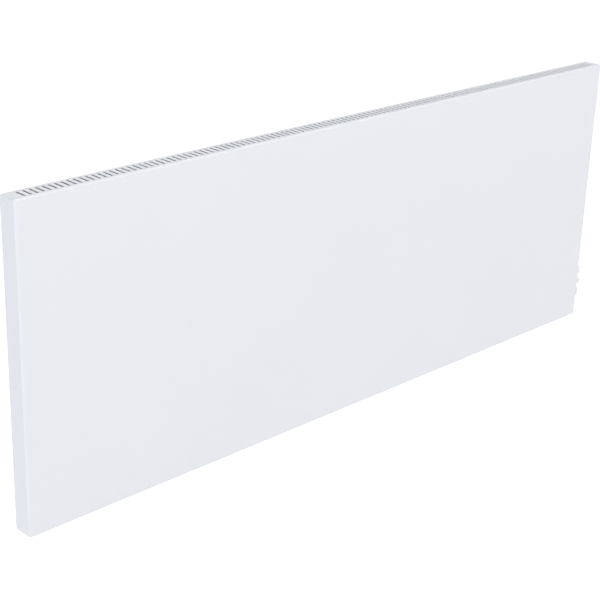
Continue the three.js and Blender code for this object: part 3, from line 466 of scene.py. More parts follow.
def softenRims(piece, rim, rimSteps=2, rimAngle=50):
    edge = piece.modifiers.new("rims", "BEVEL")
    edge.width = rim
    edge.segments = rimSteps
    edge.limit_method = "ANGLE"
    edge.angle_limit = math.radians(rimAngle)
    edge.miter_outer = "MITER_ARC"
    keepFlats(piece)


def keepFlats(piece):            # large flats keep their own normals beside rounded edges
    flats = piece.modifiers.new("flats", "WEIGHTED_NORMAL")
    flats.keep_sharp = True


def rounded(bm, items, offset, steps, kind="EDGES"):
    return bmesh.ops.bevel(
        bm, geom=list(items), offset=offset, offset_type="OFFSET", segments=steps,
        profile=0.5, affect=kind, material=-1, clamp_overlap=False,
    )


def plane(centre, acrossA, acrossB):   # a frame whose own X and Y run along two given directions
    third = acrossA.cross(acrossB)
    turn = Matrix((acrossA, acrossB, third)).transposed()
    return Matrix.Translation(centre) @ turn.to_4x4()


def tile(bm, place, width, height, radius=0, steps=3):
    size = Matrix.Diagonal((width, height, 1, 1))
    made = bmesh.ops.create_grid(bm, x_segments=1, y_segments=1, size=0.5, matrix=place @ size)
    face = made["verts"][0].link_faces[0]
    if radius:
        corners = rounded(bm, made["verts"], radius, steps, "VERTICES")["verts"]
        bmesh.ops.remove_doubles(bm, verts=corners, dist=2 * sliver)
        face = next(v for v in corners if v.is_valid).link_faces[0]
    return face


def ring(bm, place, radius, steps):
    made = bmesh.ops.create_circle(bm, cap_ends=True, radius=radius, segments=steps, matrix=place)
    return made["verts"][0].link_faces[0]


def emptied(bm, *patches):
    bmesh.ops.delete(bm, geom=list(patches), context="FACES_ONLY")


def pierce(bm, plate, *patches):      # patches are faces drawn in the plate's plane
    border = list(plate.edges)
    normal = plate.normal.copy()
    emptied(bm, plate)
    rims = {e for patch in patches for e in patch.edges if len(e.link_faces) == 1}
    bmesh.ops.triangle_fill(bm, use_beauty=True, edges=border + list(rims), normal=normal)


def facedTo(bm, direction):      # all faces one way round, the largest flat one facing a direction
    bmesh.ops.recalc_face_normals(bm, faces=bm.faces)
    widest = max(bm.faces, key=lambda f: f.calc_area() * abs(f.normal.dot(direction)))
    if widest.normal.dot(direction) < 0:
        bmesh.ops.reverse_faces(bm, faces=bm.faces)


def pressed(bm, face, run, depth, steps):    # sinks a face with a soft slope all round
    done = 0
    for i in range(1, steps + 1):
        level = depth * (0.5 - 0.5 * math.cos(math.pi * i / steps))
        bmesh.ops.inset_region(bm, faces=[face], thickness=run / steps, depth=done - level,
                               use_even_offset=True)
        done = level


def bodyOf(node):
    bodies = frame["record"]["behaviour"]["bodies"]
    return next(body for body, nodes in bodies.items() if node in nodes)


def copied(node):                # a solid's own form, merged and cleared of its flat triangles
    bm = bmesh.new()
    bm.from_mesh(frame["nodes"][node].data)
    bmesh.ops.remove_doubles(bm, verts=bm.verts, dist=2 * hair)
    bmesh.ops.dissolve_limit(bm, angle_limit=flatAngle, use_dissolve_boundaries=False,
                             verts=bm.verts, edges=bm.edges, delimit={"NORMAL"})
    return bm


def softened(node, name, slot, rim, folds=(), rimSteps=2, sharp=40):
    bm = copied(node)
    for chosen, radius, steps in folds:
        edges = [e for e in bm.edges if e.calc_face_angle(0) > foldAngle
                 and chosen((e.verts[0].co + e.verts[1].co) / 2, e.verts[1].co - e.verts[0].co)]
        rounded(bm, edges, radius, steps)
    piece = seated(bm, name, bodyOf(node), slot, [node], sharp)
    softenRims(piece, rim, rimSteps, sharp)


def splitAt(bm, faces, normal, at):   # cuts faces by a plane; gives what they became
    geom = set(faces) | {e for f in faces for e in f.edges} | {v for f in faces for v in f.verts}
    facing = faces[0].normal.copy()
    level = faces[0].verts[0].co.dot(facing)
    bmesh.ops.bisect_plane(bm, geom=list(geom), dist=hair / 10, plane_co=normal * at,
                           plane_no=normal)
    return [f for f in bm.faces if f.normal.dot(facing) > aligned
            and abs(f.calc_center_median().dot(facing) - level) < hair]


def largestFacing(bm, direction):
    facing = [f for f in bm.faces if f.normal.dot(direction) > aligned]
    return max(facing, key=lambda f: f.calc_area())


def turned(bm, profile, centre, axis, out, steps):   # profile holds (radius, place on the axis)
    verts = [bm.verts.new(centre + axis * along + out * radius) for radius, along in profile]
    edges = [bm.edges.new(pair) for pair in zip(verts, verts[1:])]
    bmesh.ops.spin(
        bm, geom=verts + edges, cent=centre, axis=axis, dvec=(0, 0, 0), angle=2 * math.pi,
        steps=steps, use_merge=True, use_normal_flip=False, use_duplicate=False,
    )
    bmesh.ops.remove_doubles(bm, verts=bm.verts, dist=hair)
    bmesh.ops.recalc_face_normals(bm, faces=bm.faces)


def joined(bm, part):
    mesh = bpy.data.meshes.new("part")
    part.to_mesh(mesh)
    part.free()
    bm.from_mesh(mesh)
    bpy.data.meshes.remove(mesh)


# Floor and light: a white studio, lit from both sides, from above and a little from behind.
studio = {
    "floorLevel": -1.3,
    "floorSize": 40,
    "floorColour": (0.86, 0.86, 0.86, 1),
    "floorGlow": 0.8,
    "world": 0.4,
    "lamps": {
        "key": {"place": (-3.0, -2.6, 0.9), "size": 1.6, "power": 41},
        "front": {"place": (2.2, -3.9, 0.9), "size": 2.5, "power": 48},
        "high": {"place": (-0.2, -2.4, 3.0), "size": 2.0, "power": 17},
        "over": {"place": (1.3, -1.4, 3.0), "size": 2.0, "power": 33},
        "left": {"place": (-3.6, -0.2, 0.9), "size": 1.5, "power": 34, "tint": (0.92, 0.98, 1)},
        "back": {"place": (0.8, 3.6, 1.8), "size": 4, "power": 30},
    },
}


def seenWhite(finish):           # 1 for what the camera sees, straight, mirrored or through glass
    rays = finish.node("ShaderNodeLightPath").socket.node.outputs
    straight = Value(finish, rays["Is Camera Ray"])
    mirrored = Value(finish, rays["Is Glossy Ray"])
    through = Value(finish, rays["Is Transmission Ray"])
    return finish.sum("MINIMUM", straight + mirrored + through, 1)


def studioFloor():
    finish = Finish("studio_floor")
    seen = seenWhite(finish)
    lit = finish.node("ShaderNodeBsdfDiffuse", sockets={"Color": studio["floorColour"]})
    glow = finish.node("ShaderNodeEmission", sockets={"Strength": seen * studio["floorGlow"]})
    both = finish.node("ShaderNodeAddShader", sockets={0: lit, 1: glow})
    finish.node("ShaderNodeOutputMaterial", sockets={"Surface": both})
    bm = bmesh.new()
    level = Matrix.Translation((0, 0, studio["floorLevel"]))
    tile(bm, level, studio["floorSize"], studio["floorSize"])
    mesh = bpy.data.meshes.new("floor")
    bm.to_mesh(mesh)
    bm.free()
    mesh.materials.append(finish.owner)
    floor = bpy.data.objects.new("floor", mesh)
    bpy.context.scene.collection.objects.link(floor)


def studioWorld():
    sky = Finish("studio", "worlds")
    soft = sky.node("ShaderNodeBackground", sockets={"Strength": studio["world"]})
    bright = sky.node("ShaderNodeBackground", sockets={"Color": (1, 1, 1, 1)})
    blend = sky.node("ShaderNodeMixShader", sockets={0: seenWhite(sky), 1: soft, 2: bright})
    sky.node("ShaderNodeOutputWorld", sockets={"Surface": blend})
    bpy.context.scene.world = sky.owner


def studioLamps():
    target = (solidBox[0] + solidBox[1]) / 2
    for name, lamp in studio["lamps"].items():
        data = bpy.data.lights.new(name, "AREA")
        data.shape = "SQUARE"
        data.size = lamp["size"]
        data.energy = lamp["power"]
        data.color = lamp.get("tint", (1, 1, 1))
        source = bpy.data.objects.new(name, data)
        source.location = lamp["place"]
        away = Vector(lamp["place"]) - target
        source.rotation_euler = away.to_track_quat("Z", "Y").to_euler()
        bpy.context.scene.collection.objects.link(source)


studioFloor()
studioWorld()
studioLamps()
print("studio lit by", len(studio["lamps"]), "lamps")


# Front casing: one folded sheet with its outlet slots, intake slots and openings for the controls.
casing = {
    "sheet": 1.0 * mm,
    "bend": 2.5 * mm,
    "rearBend": 1.6 * mm,
    "corner": 3.3 * mm,
    "bendSteps": 6,
    "lip": 9 * mm,
    "rim": 0.22 * mm,
    "outlets": {"pitch": 8 * mm, "width": 2.6 * mm, "length": 18 * mm, "front": 4 * mm,
                "margin": 16 * mm},
    "intakes": {"pitch": 20 * mm, "width": 4 * mm, "length": 17 * mm, "front": 5 * mm,
                "margin": 24 * mm},
    "slotMargin": 2 * mm,
    "neckSteps": 24,
}
controls = {
    "y": -41 * mm,
    "z": 4 * mm,
    "pitch": 18 * mm,
    "neck": 5.3 * mm,
    "switchHole": (18.8 * mm, 11.4 * mm),
}


def edgesAt(bm, axis, level):
    return [e for e in bm.edges if all(abs(v.co[axis] - level) < hair / 10 for v in e.verts)]


def slotRow(bm, direction, row, low, high):
    face = largestFacing(bm, direction)
    pitch, length = row["pitch"], row["length"]
    gaps = math.floor((high.x - low.x - 2 * row["margin"]) / pitch)
    middle = low.y + row["front"] + length / 2
    reach = length / 2 + casing["slotMargin"]

    def within(faces):
        return [f for f in faces if abs(f.calc_center_median().y - middle) < reach]

    faces = splitAt(bm, [face], acrossY, middle - reach)
    faces = splitAt(bm, [f for f in faces if f.calc_center_median().y > middle - reach], acrossY,
                    middle + reach)
    strip = within(faces)
    for i in range(gaps + 2):
        strip = within(splitAt(bm, strip, acrossX, (i - gaps / 2 - 0.5) * pitch))
    cells = {round(f.calc_center_median().x / pitch * 2): f for f in strip}
    level = cells[gaps % 2].verts[0].co.z
    for i in range(gaps + 1):
        centre = Vector(((i - gaps / 2) * pitch, middle, level))
        opening = tile(bm, plane(centre, acrossX, acrossY), row["width"], length,
                       row["width"] / 2)
        pierce(bm, cells[2 * i - gaps], opening)
        emptied(bm, opening)


def controlOpenings(bm, x, steps):     # patches for the knob's neck and the two switches
    centre = Vector((x, controls["y"], controls["z"]))
    patches = [ring(bm, plane(centre, acrossY, acrossZ), controls["neck"], steps)]
    for side in (-1, 1):
        at = centre + acrossZ * side * controls["pitch"]
        patches.append(tile(bm, plane(at, acrossY, acrossZ), *controls["switchHole"]))
    return patches


def frontCasing():
    low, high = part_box("front_casing")
    bm = bmesh.new()
    size = Matrix.Diagonal((*(high - low), 1))
    bmesh.ops.create_cube(bm, size=1, matrix=Matrix.Translation((low + high) / 2) @ size)
    corners = [e for e in bm.edges if abs(e.verts[0].co.y - e.verts[1].co.y) > mm]
    rounded(bm, corners, casing["corner"], casing["bendSteps"])
    rounded(bm, edgesAt(bm, 1, low.y), casing["bend"], casing["bendSteps"])
    rounded(bm, edgesAt(bm, 1, high.y), casing["rearBend"], casing["bendSteps"])
    bmesh.ops.recalc_face_normals(bm, faces=bm.faces)
    back = largestFacing(bm, acrossY)
    rim = list(back.edges)
    emptied(bm, back)
    lips = bmesh.ops.extrude_edge_only(bm, edges=rim)
    inner = [v for v in lips["geom"] if isinstance(v, bmesh.types.BMVert)]
    for vert in inner:
        vert.co.x = max(low.x + casing["lip"], min(high.x - casing["lip"], vert.co.x))
        vert.co.z = max(low.z + casing["lip"], min(high.z - casing["lip"], vert.co.z))
    bmesh.ops.remove_doubles(bm, verts=inner, dist=hair)
    slotRow(bm, acrossZ, casing["outlets"], low, high)
    slotRow(bm, -acrossZ, casing["intakes"], low, high)
    openings = controlOpenings(bm, high.x, casing["neckSteps"])
    pierce(bm, largestFacing(bm, acrossX), *openings)
    emptied(bm, *openings)
    bmesh.ops.recalc_face_normals(bm, faces=bm.faces)
    shell = seated(bm, "casing_shell", "heater", "white_paint", ["front_casing"])
    walled(shell, casing["sheet"], casing["rim"], rimSteps=1)


frontCasing()
print("casing folded")


# Rear panel: beaded sheet with hook slots, latch tongues bent out of it and the lead's inlet.
panel = {
    "rearFace": -27 * mm,
    "sheet": 0.8 * mm,
    "corner": (2.3 * mm, 4),         # radius and steps
    "rim": 0.12 * mm,
    "beads": {"levels": (50 * mm, 150 * mm, 250 * mm), "ends": (-438.5 * mm, 353.5 * mm),
              "width": 16 * mm, "depth": 2.4 * mm, "run": 4.2 * mm, "steps": 6,
              "endSteps": 8},
    "hookSlot": {"x": 229 * mm, "width": 6 * mm, "low": -18 * mm, "high": 0, "corner": 0.8 * mm},
    "tongue": {"x": 224.7 * mm, "low": 294 * mm, "high": 310 * mm, "end": -13 * mm,
               "bend": 0.6 * mm, "bendSteps": 4, "relief": 1 * mm, "window": 14 * mm,
               "corner": (3 * mm, 4)},
    "inlet": {"x": 458 * mm, "z": -26 * mm, "radius": 7 * mm, "steps": 32},
}


def onPanel(x, z):               # a frame on the rear panel, facing the wall
    return plane(Vector((x, panel["rearFace"], z)), acrossZ, acrossX)


def beadPatches(bm):
    bead = panel["beads"]
    first, last = bead["ends"]
    return [tile(bm, onPanel((first + last) / 2, level), bead["width"], last - first,
                 bead["width"] / 2, bead["endSteps"]) for level in bead["levels"]]


def hookPatches(bm):
    hook = panel["hookSlot"]
    middle = (hook["low"] + hook["high"]) / 2
    return [tile(bm, onPanel(side * hook["x"], middle), hook["high"] - hook["low"],
                 hook["width"], hook["corner"]) for side in (-1, 1)]


def tongueRoot(side):
    tongue = panel["tongue"]
    return side * (tongue["x"] + panel["sheet"] / 2 + tongue["bend"])


def windowPatch(bm, side):       # the window left by a tongue, split where the tongue is rooted
    tongue = panel["tongue"]
    root = tongueRoot(side)
    inner = side * (tongue["x"] - panel["sheet"] / 2 - tongue["window"])
    low, high = tongue["low"] - tongue["relief"], tongue["high"] + tongue["relief"]
    patch = tile(bm, onPanel((root + inner) / 2, (low + high) / 2), high - low, abs(root - inner))
    edge = next(e for e in patch.edges if all(abs(v.co.x - root) < hair for v in e.verts))
    lower, upper = sorted(edge.verts, key=lambda v: v.co.z)
    rest, split = bmesh.utils.edge_split(edge, lower, 0.5)
    split.co.z = tongue["low"]
    above = next(e for e in split.link_edges if upper in e.verts)
    rest, split = bmesh.utils.edge_split(above, split, 0.5)
    split.co.z = tongue["high"]
    return patch


def bendTongue(bm, side):
    tongue = panel["tongue"]
    root = tongueRoot(side)
    levels = (tongue["low"], tongue["high"])
    edge = next(e for e in bm.edges
                if all(abs(v.co.x - root) < hair for v in e.verts)
                and all(min(abs(v.co.z - level) for level in levels) < hair for v in e.verts))
    centre = (root, panel["rearFace"] + tongue["bend"], 0)
    bent = bmesh.ops.spin(bm, geom=[edge, *edge.verts], cent=centre, axis=(0, 0, 1),
                          angle=-side * math.pi / 2, steps=tongue["bendSteps"],
                          use_duplicate=False)
    last = [e for e in bent["geom_last"] if isinstance(e, bmesh.types.BMEdge)]
    drawn = bmesh.ops.extrude_edge_only(bm, edges=last)["geom"]
    ends = [v for v in drawn if isinstance(v, bmesh.types.BMVert)]
    for vert in ends:
        vert.co.y = tongue["end"]
    rounded(bm, ends, *tongue["corner"], "VERTICES")


def rearPanel():
    low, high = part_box("rear_panel")
    bm = bmesh.new()
    middle = (low + high) / 2
    plate = tile(bm, onPanel(middle.x, middle.z), high.z - low.z, high.x - low.x,
                 *panel["corner"])
    beads = beadPatches(bm)
    inlet = panel["inlet"]
    openings = hookPatches(bm) + [windowPatch(bm, side) for side in (-1, 1)]
    openings.append(ring(bm, onPanel(inlet["x"], inlet["z"]), inlet["radius"], inlet["steps"]))
    pierce(bm, plate, *beads, *openings)
    emptied(bm, *openings)
    bead = panel["beads"]
    for face in beads:
        pressed(bm, face, bead["run"], bead["depth"], bead["steps"])
    for side in (-1, 1):
        bendTongue(bm, side)
    facedTo(bm, acrossY)
    sheet = seated(bm, "rear_sheet", "heater", "zinc_steel", ["rear_panel"], sharp=40)
    walled(sheet, panel["sheet"], panel["rim"], rimSteps=1)


rearPanel()
print("rear panel pressed")


# Screw and rivet heads. An axis points out of the surface that a head sits on.
panHead = {                      # shares of the head's radius and height
    "skirt": 0.45,
    "crown": ((0.1, 0.25), (0.16, 0.18), (0.2, 0.1)),
    "cross": 0.42,
    "crossTaper": 0.05,
    "crossDepth": 0.5,
    "steps": 24,
}
rivetDome = {
    "outline": ((0, 0.72), (0.24, 0.72), (0.3, 0.98), (0.62, 0.86), (0.88, 0.52), (1, 0.14),
                (1, 0), (0, 0)),
    "steps": 18,
}


def crossAxes(axis):
    side = acrossZ if abs(axis.z) < 0.5 else acrossX
    return side, axis.cross(side)


def screwHead(bm, seat, axis, radius, height):    # pan head with a cross recess
    side, other = crossAxes(axis)
    place = plane(seat, side, other)
    cap = ring(bm, place, radius, panHead["steps"])
    raised = bmesh.ops.extrude_face_region(bm, geom=[cap])["geom"]
    top = next(f for f in raised if isinstance(f, bmesh.types.BMFace))
    bmesh.ops.translate(bm, verts=top.verts, vec=axis * height * panHead["skirt"])
    for run, rise in panHead["crown"]:
        bmesh.ops.inset_region(bm, faces=[top], thickness=radius * run, depth=height * rise)
    up = axis * height * (panHead["skirt"] + sum(rise for run, rise in panHead["crown"]))
    cross = bmesh.ops.create_grid(bm, x_segments=3, y_segments=3, size=radius * panHead["cross"],
                                  matrix=Matrix.Translation(up) @ place)
    cells = list({f for v in cross["verts"] for f in v.link_faces})
    nearest = sorted(cells, key=lambda f: (f.calc_center_median() - seat - up).length)
    arms, corners = nearest[:5], nearest[5:]      # of nine cells, the middle five are the cross
    bmesh.ops.delete(bm, geom=corners, context="FACES")
    pierce(bm, top, *arms)
    bmesh.ops.inset_region(bm, faces=arms, thickness=radius * panHead["crossTaper"],
                           depth=-height * panHead["crossDepth"])


def rivetHead(bm, seat, axis, radius, height):    # domed blind rivet with its broken-off pin
    profile = [(radius * out, height * up) for out, up in rivetDome["outline"]]
    dome = bmesh.new()
    turned(dome, profile, seat, axis, crossAxes(axis)[0], rivetDome["steps"])
    joined(bm, dome)


# What holds things to the rear panel. Places along it and up it are in millimetres.
screws = {
    "radius": 3.1 * mm,
    "height": 2 * mm,
    "rows": (345.5, -45.5),
    "along": (-480, -240, 0, 240, 480),
    "ends": (-507.5, 507.5),
    "endLevels": (60, 240),
}
rivets = {
    "radius": 2.6 * mm,
    "height": 1.1 * mm,
    "shieldAlong": (-430, -236, -42.5, 151, 345),
    "shieldLevels": (192, 21),
    "brackets": ((-468.5, 33.3), (-468.5, 49.3), (383.5, 33.3), (383.5, 49.3)),
    "partition": ((411, -20), (411, 100), (411, 200), (411, 320)),
    "terminals": ((430.5, 105), (448.5, 105), (430.5, 52)),
    "rest": ((-42.5, 7),),
    "leadClips": ((-392.5, -34), (-42.5, -34), (307.5, -34)),
}


def panelScrews():
    spots = [(x, z) for z in screws["rows"] for x in screws["along"]]
    spots += [(x, z) for x in screws["ends"] for z in screws["endLevels"]]
    bm = bmesh.new()
    for x, z in spots:
        seat = Vector((x * mm, panel["rearFace"], z * mm))
        screwHead(bm, seat, acrossY, screws["radius"], screws["height"])
    seated(bm, "panel_screws", "heater", "zinc_steel", sharp=35)


def panelRivets():
    spots = [(x, z) for z in rivets["shieldLevels"] for x in rivets["shieldAlong"]]
    for group in ("brackets", "partition", "terminals", "rest", "leadClips"):
        spots += rivets[group]
    bm = bmesh.new()
    for x, z in spots:
        seat = Vector((x * mm, panel["rearFace"], z * mm))
        rivetHead(bm, seat, acrossY, rivets["radius"], rivets["height"])
    seated(bm, "panel_rivets", "heater", "zinc_steel", sharp=50)


panelScrews()
panelRivets()
print("panel fixed")


# Wall bracket: folded uprights, pressed crossbars and the spring clips of the latches.
bracket = {
    "sheet": 2 * mm,
    "outerFold": (2.3 * mm, 5),      # radius and steps, as in every fold here
    "innerFold": (0.4 * mm, 3),
    "foldOver": 100 * mm,        # shorter edges aren't an upright's folds
    "edge": 0.25 * mm,
    "joggle": (0.9 * mm, 3),
    "joggleAlong": (195 * mm, 206 * mm),
    "joggleOver": 20 * mm,
    "rivetAlong": (208 * mm, 221 * mm),
    "rivetLevels": (0, 250 * mm),
    "barFace": -3.8 * mm,
    "rivet": (3 * mm, 1.3 * mm),
}


def upright(side):
    name = f"bracket_upright_{side}"
    low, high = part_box(name)
    outside = max(abs(low.x), abs(high.x))

    def foldAt(inset):
        def chosen(at, run):
            return (abs(abs(at.x) - outside + inset) < sliver and abs(at.y + inset) < sliver
                    and abs(run.z) > bracket["foldOver"])
        return chosen

    softened(name, f"folded_upright_{side}", "zinc_steel", bracket["edge"],
             [(foldAt(0), *bracket["outerFold"]),
              (foldAt(bracket["sheet"]), *bracket["innerFold"])])


def crossbar(level):
    near, far = bracket["joggleAlong"]

    def joggle(at, run):
        return abs(run.z) > bracket["joggleOver"] and near < abs(at.x) < far

    softened(f"bracket_crossbar_{level}", f"pressed_crossbar_{level}", "zinc_steel",
             bracket["edge"], [(joggle, *bracket["joggle"])])


def bracketRivets():
    bm = bmesh.new()
    for level in bracket["rivetLevels"]:
        for side in (-1, 1):
            for x in bracket["rivetAlong"]:
                seat = Vector((side * x, bracket["barFace"], level))
                rivetHead(bm, seat, -acrossY, *bracket["rivet"])
    seated(bm, "bracket_rivets", "wall_bracket", "zinc_steel", sharp=50)


clip = {
    "fold": (0.3 * mm, 3),
    "foldOver": 10 * mm,
    "edge": 0.12 * mm,
    "rivetY": -16 * mm,
    "level": 302 * mm,
    "leafX": 227.1 * mm,
    "leafRivet": (2 * mm, 0.7 * mm),
    "flangeX": 230 * mm,
    "flangeRivet": (2.6 * mm, 1 * mm),
}


def latchClips():
    def fold(at, run):
        return abs(run.z) > clip["foldOver"]

    for side in ("left", "right"):
        softened(f"latch_clip_{side}", f"spring_clip_{side}", "spring_steel", clip["edge"],
                 [(fold, *clip["fold"])])
    bm = bmesh.new()
    for side in (-1, 1):
        inside = Vector((side * clip["leafX"], clip["rivetY"], clip["level"]))
        rivetHead(bm, inside, -side * acrossX, *clip["leafRivet"])
        outside = Vector((side * clip["flangeX"], clip["rivetY"], clip["level"]))
        rivetHead(bm, outside, side * acrossX, *clip["flangeRivet"])
    seated(bm, "clip_rivets", "wall_bracket", "zinc_steel", sharp=50)


for side in ("left", "right"):
    upright(side)
for level in ("lower", "upper"):
    crossbar(level)
bracketRivets()
latchClips()
print("wall bracket folded and riveted")


# Supply grommet: black rubber with a thin membrane for the lead to pierce.
grommet = {                      # outline of radius and Y, in millimetres
    "outline": ((0, -27.9), (1.2, -27.9), (1.5, -27.6), (2.6, -27.6), (2.9, -27.9), (4.4, -27.9),
                (5, -27.6), (5.2, -26.6), (5.3, -25.4), (5.8, -24.9), (7.4, -24.75), (8.5, -25.3),
                (8.95, -26.2), (8.9, -26.7), (6.7, -26.7), (6.7, -28.1), (8.6, -28.1),
                (8.95, -28.5), (8.8, -29.3), (8.2, -29.65), (5.7, -29.65), (5.2, -29.2),
                (5, -28.9), (2.9, -29), (2.6, -28.7), (1.5, -28.7), (1.2, -29), (0, -29)),
    "steps": 40,
}


def supplyGrommet():
    bm = bmesh.new()
    centre = Vector((panel["inlet"]["x"], 0, panel["inlet"]["z"]))
    profile = [(radius * mm, y * mm) for radius, y in grommet["outline"]]
    turned(bm, profile, centre, acrossY, acrossX, grommet["steps"])
    seated(bm, "lead_inlet", "heater", "black_rubber", ["supply_grommet"], sharp=50)


supplyGrommet()


# Controls in the right-hand end.
plate = {
    "face": 514.8 * mm,
    "thick": 2 * mm,
    "size": (22 * mm, 60 * mm),
    "corner": (3 * mm, 6),           # radius and steps
    "neckSteps": 32,
    "edge": 0.6 * mm,
}


def escutcheon():
    centre = Vector((plate["face"], controls["y"], controls["z"]))
    bm = bmesh.new()
    front = tile(bm, plane(centre, acrossY, acrossZ), *plate["size"], *plate["corner"])
    patches = controlOpenings(bm, plate["face"], plate["neckSteps"])
    pierce(bm, front, *patches)
    emptied(bm, *patches)
    facedTo(bm, acrossX)
    piece = seated(bm, "control_plate", "heater", "white_plastic", ["escutcheon"])
    walled(piece, plate["thick"], plate["edge"], rimSteps=3)


knob = {
    "base": 515.1 * mm,
    "face": 523.8 * mm,
    "radius": 10 * mm,
    "steps": 128,
    "lobes": 16,
    "lobeDepth": 0.45 * mm,
    "edge": 1 * mm,
    "edgeSteps": 5,
    "groove": (1.4 * mm, 5.2 * mm),
    "grooveMiddle": 5.6 * mm,
    "grooveDepth": 0.6 * mm,
    "grooveDraft": 0.08 * mm,
    "grooveSteps": 4,
    "inlay": 0.1 * mm,
    "inlayGap": 0.15 * mm,
}


def flutedGrip(bm):              # gives the grip's top face
    base = Vector((knob["base"], controls["y"], controls["z"]))
    skirt = ring(bm, plane(base, acrossY, acrossZ), knob["radius"], knob["steps"])
    for vert in skirt.verts:
        out = vert.co - base
        wave = 0.5 - 0.5 * math.cos(math.atan2(out.z, out.y) * knob["lobes"])
        vert.co = base + out.normalized() * (knob["radius"] - knob["lobeDepth"] * wave)
    raised = bmesh.ops.extrude_face_region(bm, geom=[skirt], use_keep_orig=True)["geom"]
    top = next(f for f in raised if isinstance(f, bmesh.types.BMFace))
    height = knob["face"] - knob["base"]
    bmesh.ops.translate(bm, verts=top.verts, vec=acrossX * (height - knob["edge"]))
    done = Vector((0, 0))
    for i in range(1, knob["edgeSteps"] + 1):
        angle = math.pi / 2 * i / knob["edgeSteps"]
        step = Vector((1 - math.cos(angle), math.sin(angle))) * knob["edge"]
        bmesh.ops.inset_region(bm, faces=[top], thickness=step.x - done.x, depth=step.y - done.y)
        done = step
    return top


def thermostatKnob():
    bm = bmesh.new()
    top = flutedGrip(bm)
    width, length = knob["groove"]
    at = Vector((knob["face"], controls["y"], controls["z"] + knob["grooveMiddle"]))
    groove = tile(bm, plane(at, acrossY, acrossZ), width, length, width / 2, knob["grooveSteps"])
    pierce(bm, top, groove)
    bmesh.ops.inset_region(bm, faces=[groove], thickness=knob["grooveDraft"],
                           depth=-knob["grooveDepth"])
    facedTo(bm, acrossX)
    piece = seated(bm, "dial_knob", "thermostat_dial", "white_plastic", ["thermostat_knob"],
                   sharp=35)
    keepFlats(piece)


def knobPointer():               # a dark strip on the floor of the knob's groove
    width, length = (size - 2 * knob["inlayGap"] for size in knob["groove"])
    face = knob["face"] - knob["grooveDepth"] + knob["inlay"]
    at = Vector((face, controls["y"], controls["z"] + knob["grooveMiddle"]))
    bm = bmesh.new()
    end = width / 2 - sliver
    tile(bm, plane(at, acrossY, acrossZ), width, length, end, knob["grooveSteps"])
    facedTo(bm, acrossX)
    thickened(seated(bm, "dial_pointer", "thermostat_dial", "black_plastic"), knob["inlay"])


rockers = {
    "edge": 0.45 * mm,
    "frameEdge": 0.35 * mm,
    "markSize": 3.4 * mm,
    "markWidth": 0.55 * mm,
    "markHeight": 0.12 * mm,
    "markSteps": 32,
    "wingFacing": 0.8,           # least cosine between a wing and the end's own direction
}


def switch(level):
    softened(f"switch_body_{level}", f"switch_frame_{level}", "white_plastic",
             rockers["frameEdge"], sharp=50)
    softened(f"switch_rocker_{level}", f"rocker_{level}_cap", "white_plastic", rockers["edge"],
             rimSteps=3, sharp=50)
    rockerMarks(level)


def rockerMarks(level):          # an upright stroke on one wing and a ring on the other
    bm = copied(f"switch_rocker_{level}")
    facing = [f for f in bm.faces if f.normal.x > rockers["wingFacing"]]
    wings = sorted(facing, key=lambda f: -f.calc_area())[:2]
    spots = [(f.calc_center_median(), f.normal.copy()) for f in wings]
    bm.free()
    size, width = rockers["markSize"], rockers["markWidth"]
    marks = bmesh.new()
    for at, normal in spots:
        side = acrossZ.cross(normal).normalized()
        place = plane(at + normal * sliver, side, acrossZ)
        if at.y < controls["y"]:
            tile(marks, place, width, size, width / 3)
        else:
            disc = ring(marks, place, size / 2, rockers["markSteps"])
            bmesh.ops.inset_region(marks, faces=[disc], thickness=width, depth=0,
                                   use_boundary=True)
            emptied(marks, disc)
    facedTo(marks, acrossX)
    body = bodyOf(f"switch_rocker_{level}")
    piece = seated(marks, f"rocker_{level}_marks", body, "black_plastic")
    thickened(piece, rockers["markHeight"], side=1)


escutcheon()
thermostatKnob()
knobPointer()
for level in ("upper", "lower"):
    switch(level)
print("controls fitted")


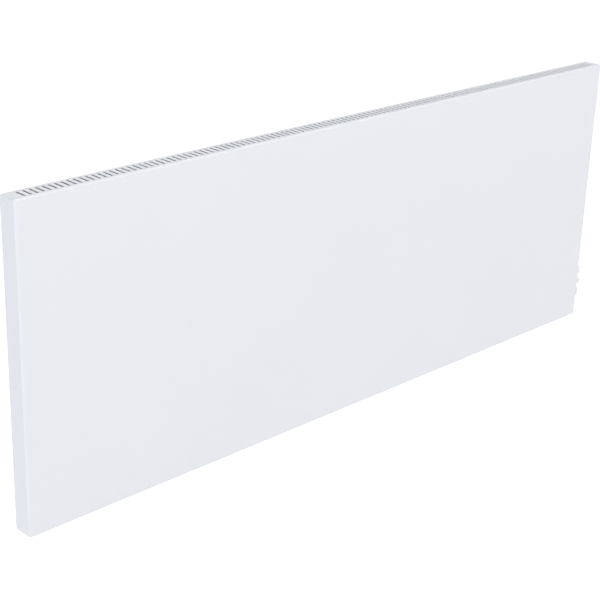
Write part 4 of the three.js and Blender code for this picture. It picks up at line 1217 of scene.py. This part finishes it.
# What sits inside the casing: each solid's own form with its finish and softened edges.
inner = {                        # slot and edge width in millimetres
    "heat_shield": ("aluminium", 0.1),
    "element_extrusion": ("aluminium", 0.12),
    "element_rod": ("tube_steel", 0.3),
    "element_bracket_left": ("zinc_steel", 0.15),
    "element_bracket_right": ("zinc_steel", 0.15),
    "element_bush_left": ("ceramic", 0.4),
    "element_bush_right": ("ceramic", 0.4),
    "element_rest": ("zinc_steel", 0.15),
    "partition": ("zinc_steel", 0.1),
    "lead_grommet_upper": ("black_rubber", 0.25),
    "lead_grommet_lower": ("black_rubber", 0.25),
    "thermostat_body": ("black_plastic", 0.15),
    "thermostat_spindle": ("brass", 0.2),
    "terminal_block": ("ceramic", 0.25),
    "earth_post": ("brass", 0.25),
    "thermal_cutout": ("black_plastic", 0.12),
    "terminal_boot_left": ("black_rubber", 0.25),
    "terminal_boot_right": ("black_rubber", 0.25),
    "wire_clip_left": ("white_plastic", 0.15),
    "wire_clip_middle": ("white_plastic", 0.15),
    "wire_clip_right": ("white_plastic", 0.15),
}
leads = {
    "wire_live": "wire_brown",
    "wire_switched": "wire_brown",
    "wire_economy": "wire_brown",
    "wire_heating": "wire_brown",
    "wire_cutout": "wire_brown",
    "wire_return": "wire_blue",
    "wire_earth": "wire_earth",
}
leadEdges = {
    "angles": (0.8, 1.3),        # a six-sided lead's long edges turn by about 1.05
    "faceAngle": 0.6,            # most that two triangles of one side differ by
    "shapeAngle": 3.1,
    "radius": 0.36 * mm,
    "steps": 2,
}


def roundedLead(node, slot):     # a six-sided lead made round along its edges
    bm = copied(node)
    bmesh.ops.join_triangles(bm, faces=bm.faces, angle_face_threshold=leadEdges["faceAngle"],
                             angle_shape_threshold=leadEdges["shapeAngle"])
    least, most = leadEdges["angles"]
    lengthwise = [e for e in bm.edges if least < e.calc_face_angle(0) < most]
    rounded(bm, lengthwise, leadEdges["radius"], leadEdges["steps"])
    seated(bm, node.replace("wire_", "lead_"), bodyOf(node), slot, [node], sharp=60)


terminals = {
    "along": (430.5 * mm, 439.5 * mm, 448.5 * mm),
    "face": -36.2 * mm,
    "level": 105 * mm,
    "screw": (2 * mm, 1.3 * mm),
}


def terminalScrews():
    bm = bmesh.new()
    for x in terminals["along"]:
        seat = Vector((x, terminals["face"], terminals["level"]))
        screwHead(bm, seat, -acrossY, *terminals["screw"])
    seated(bm, "terminal_screws", "heater", "brass", sharp=35)


for node, (slot, edge) in inner.items():
    softened(node, f"{node}_fine", slot, edge * mm)
for node, slot in leads.items():
    roundedLead(node, slot)
terminalScrews()
print("inside fitted:", len(inner) + len(leads), "solids")
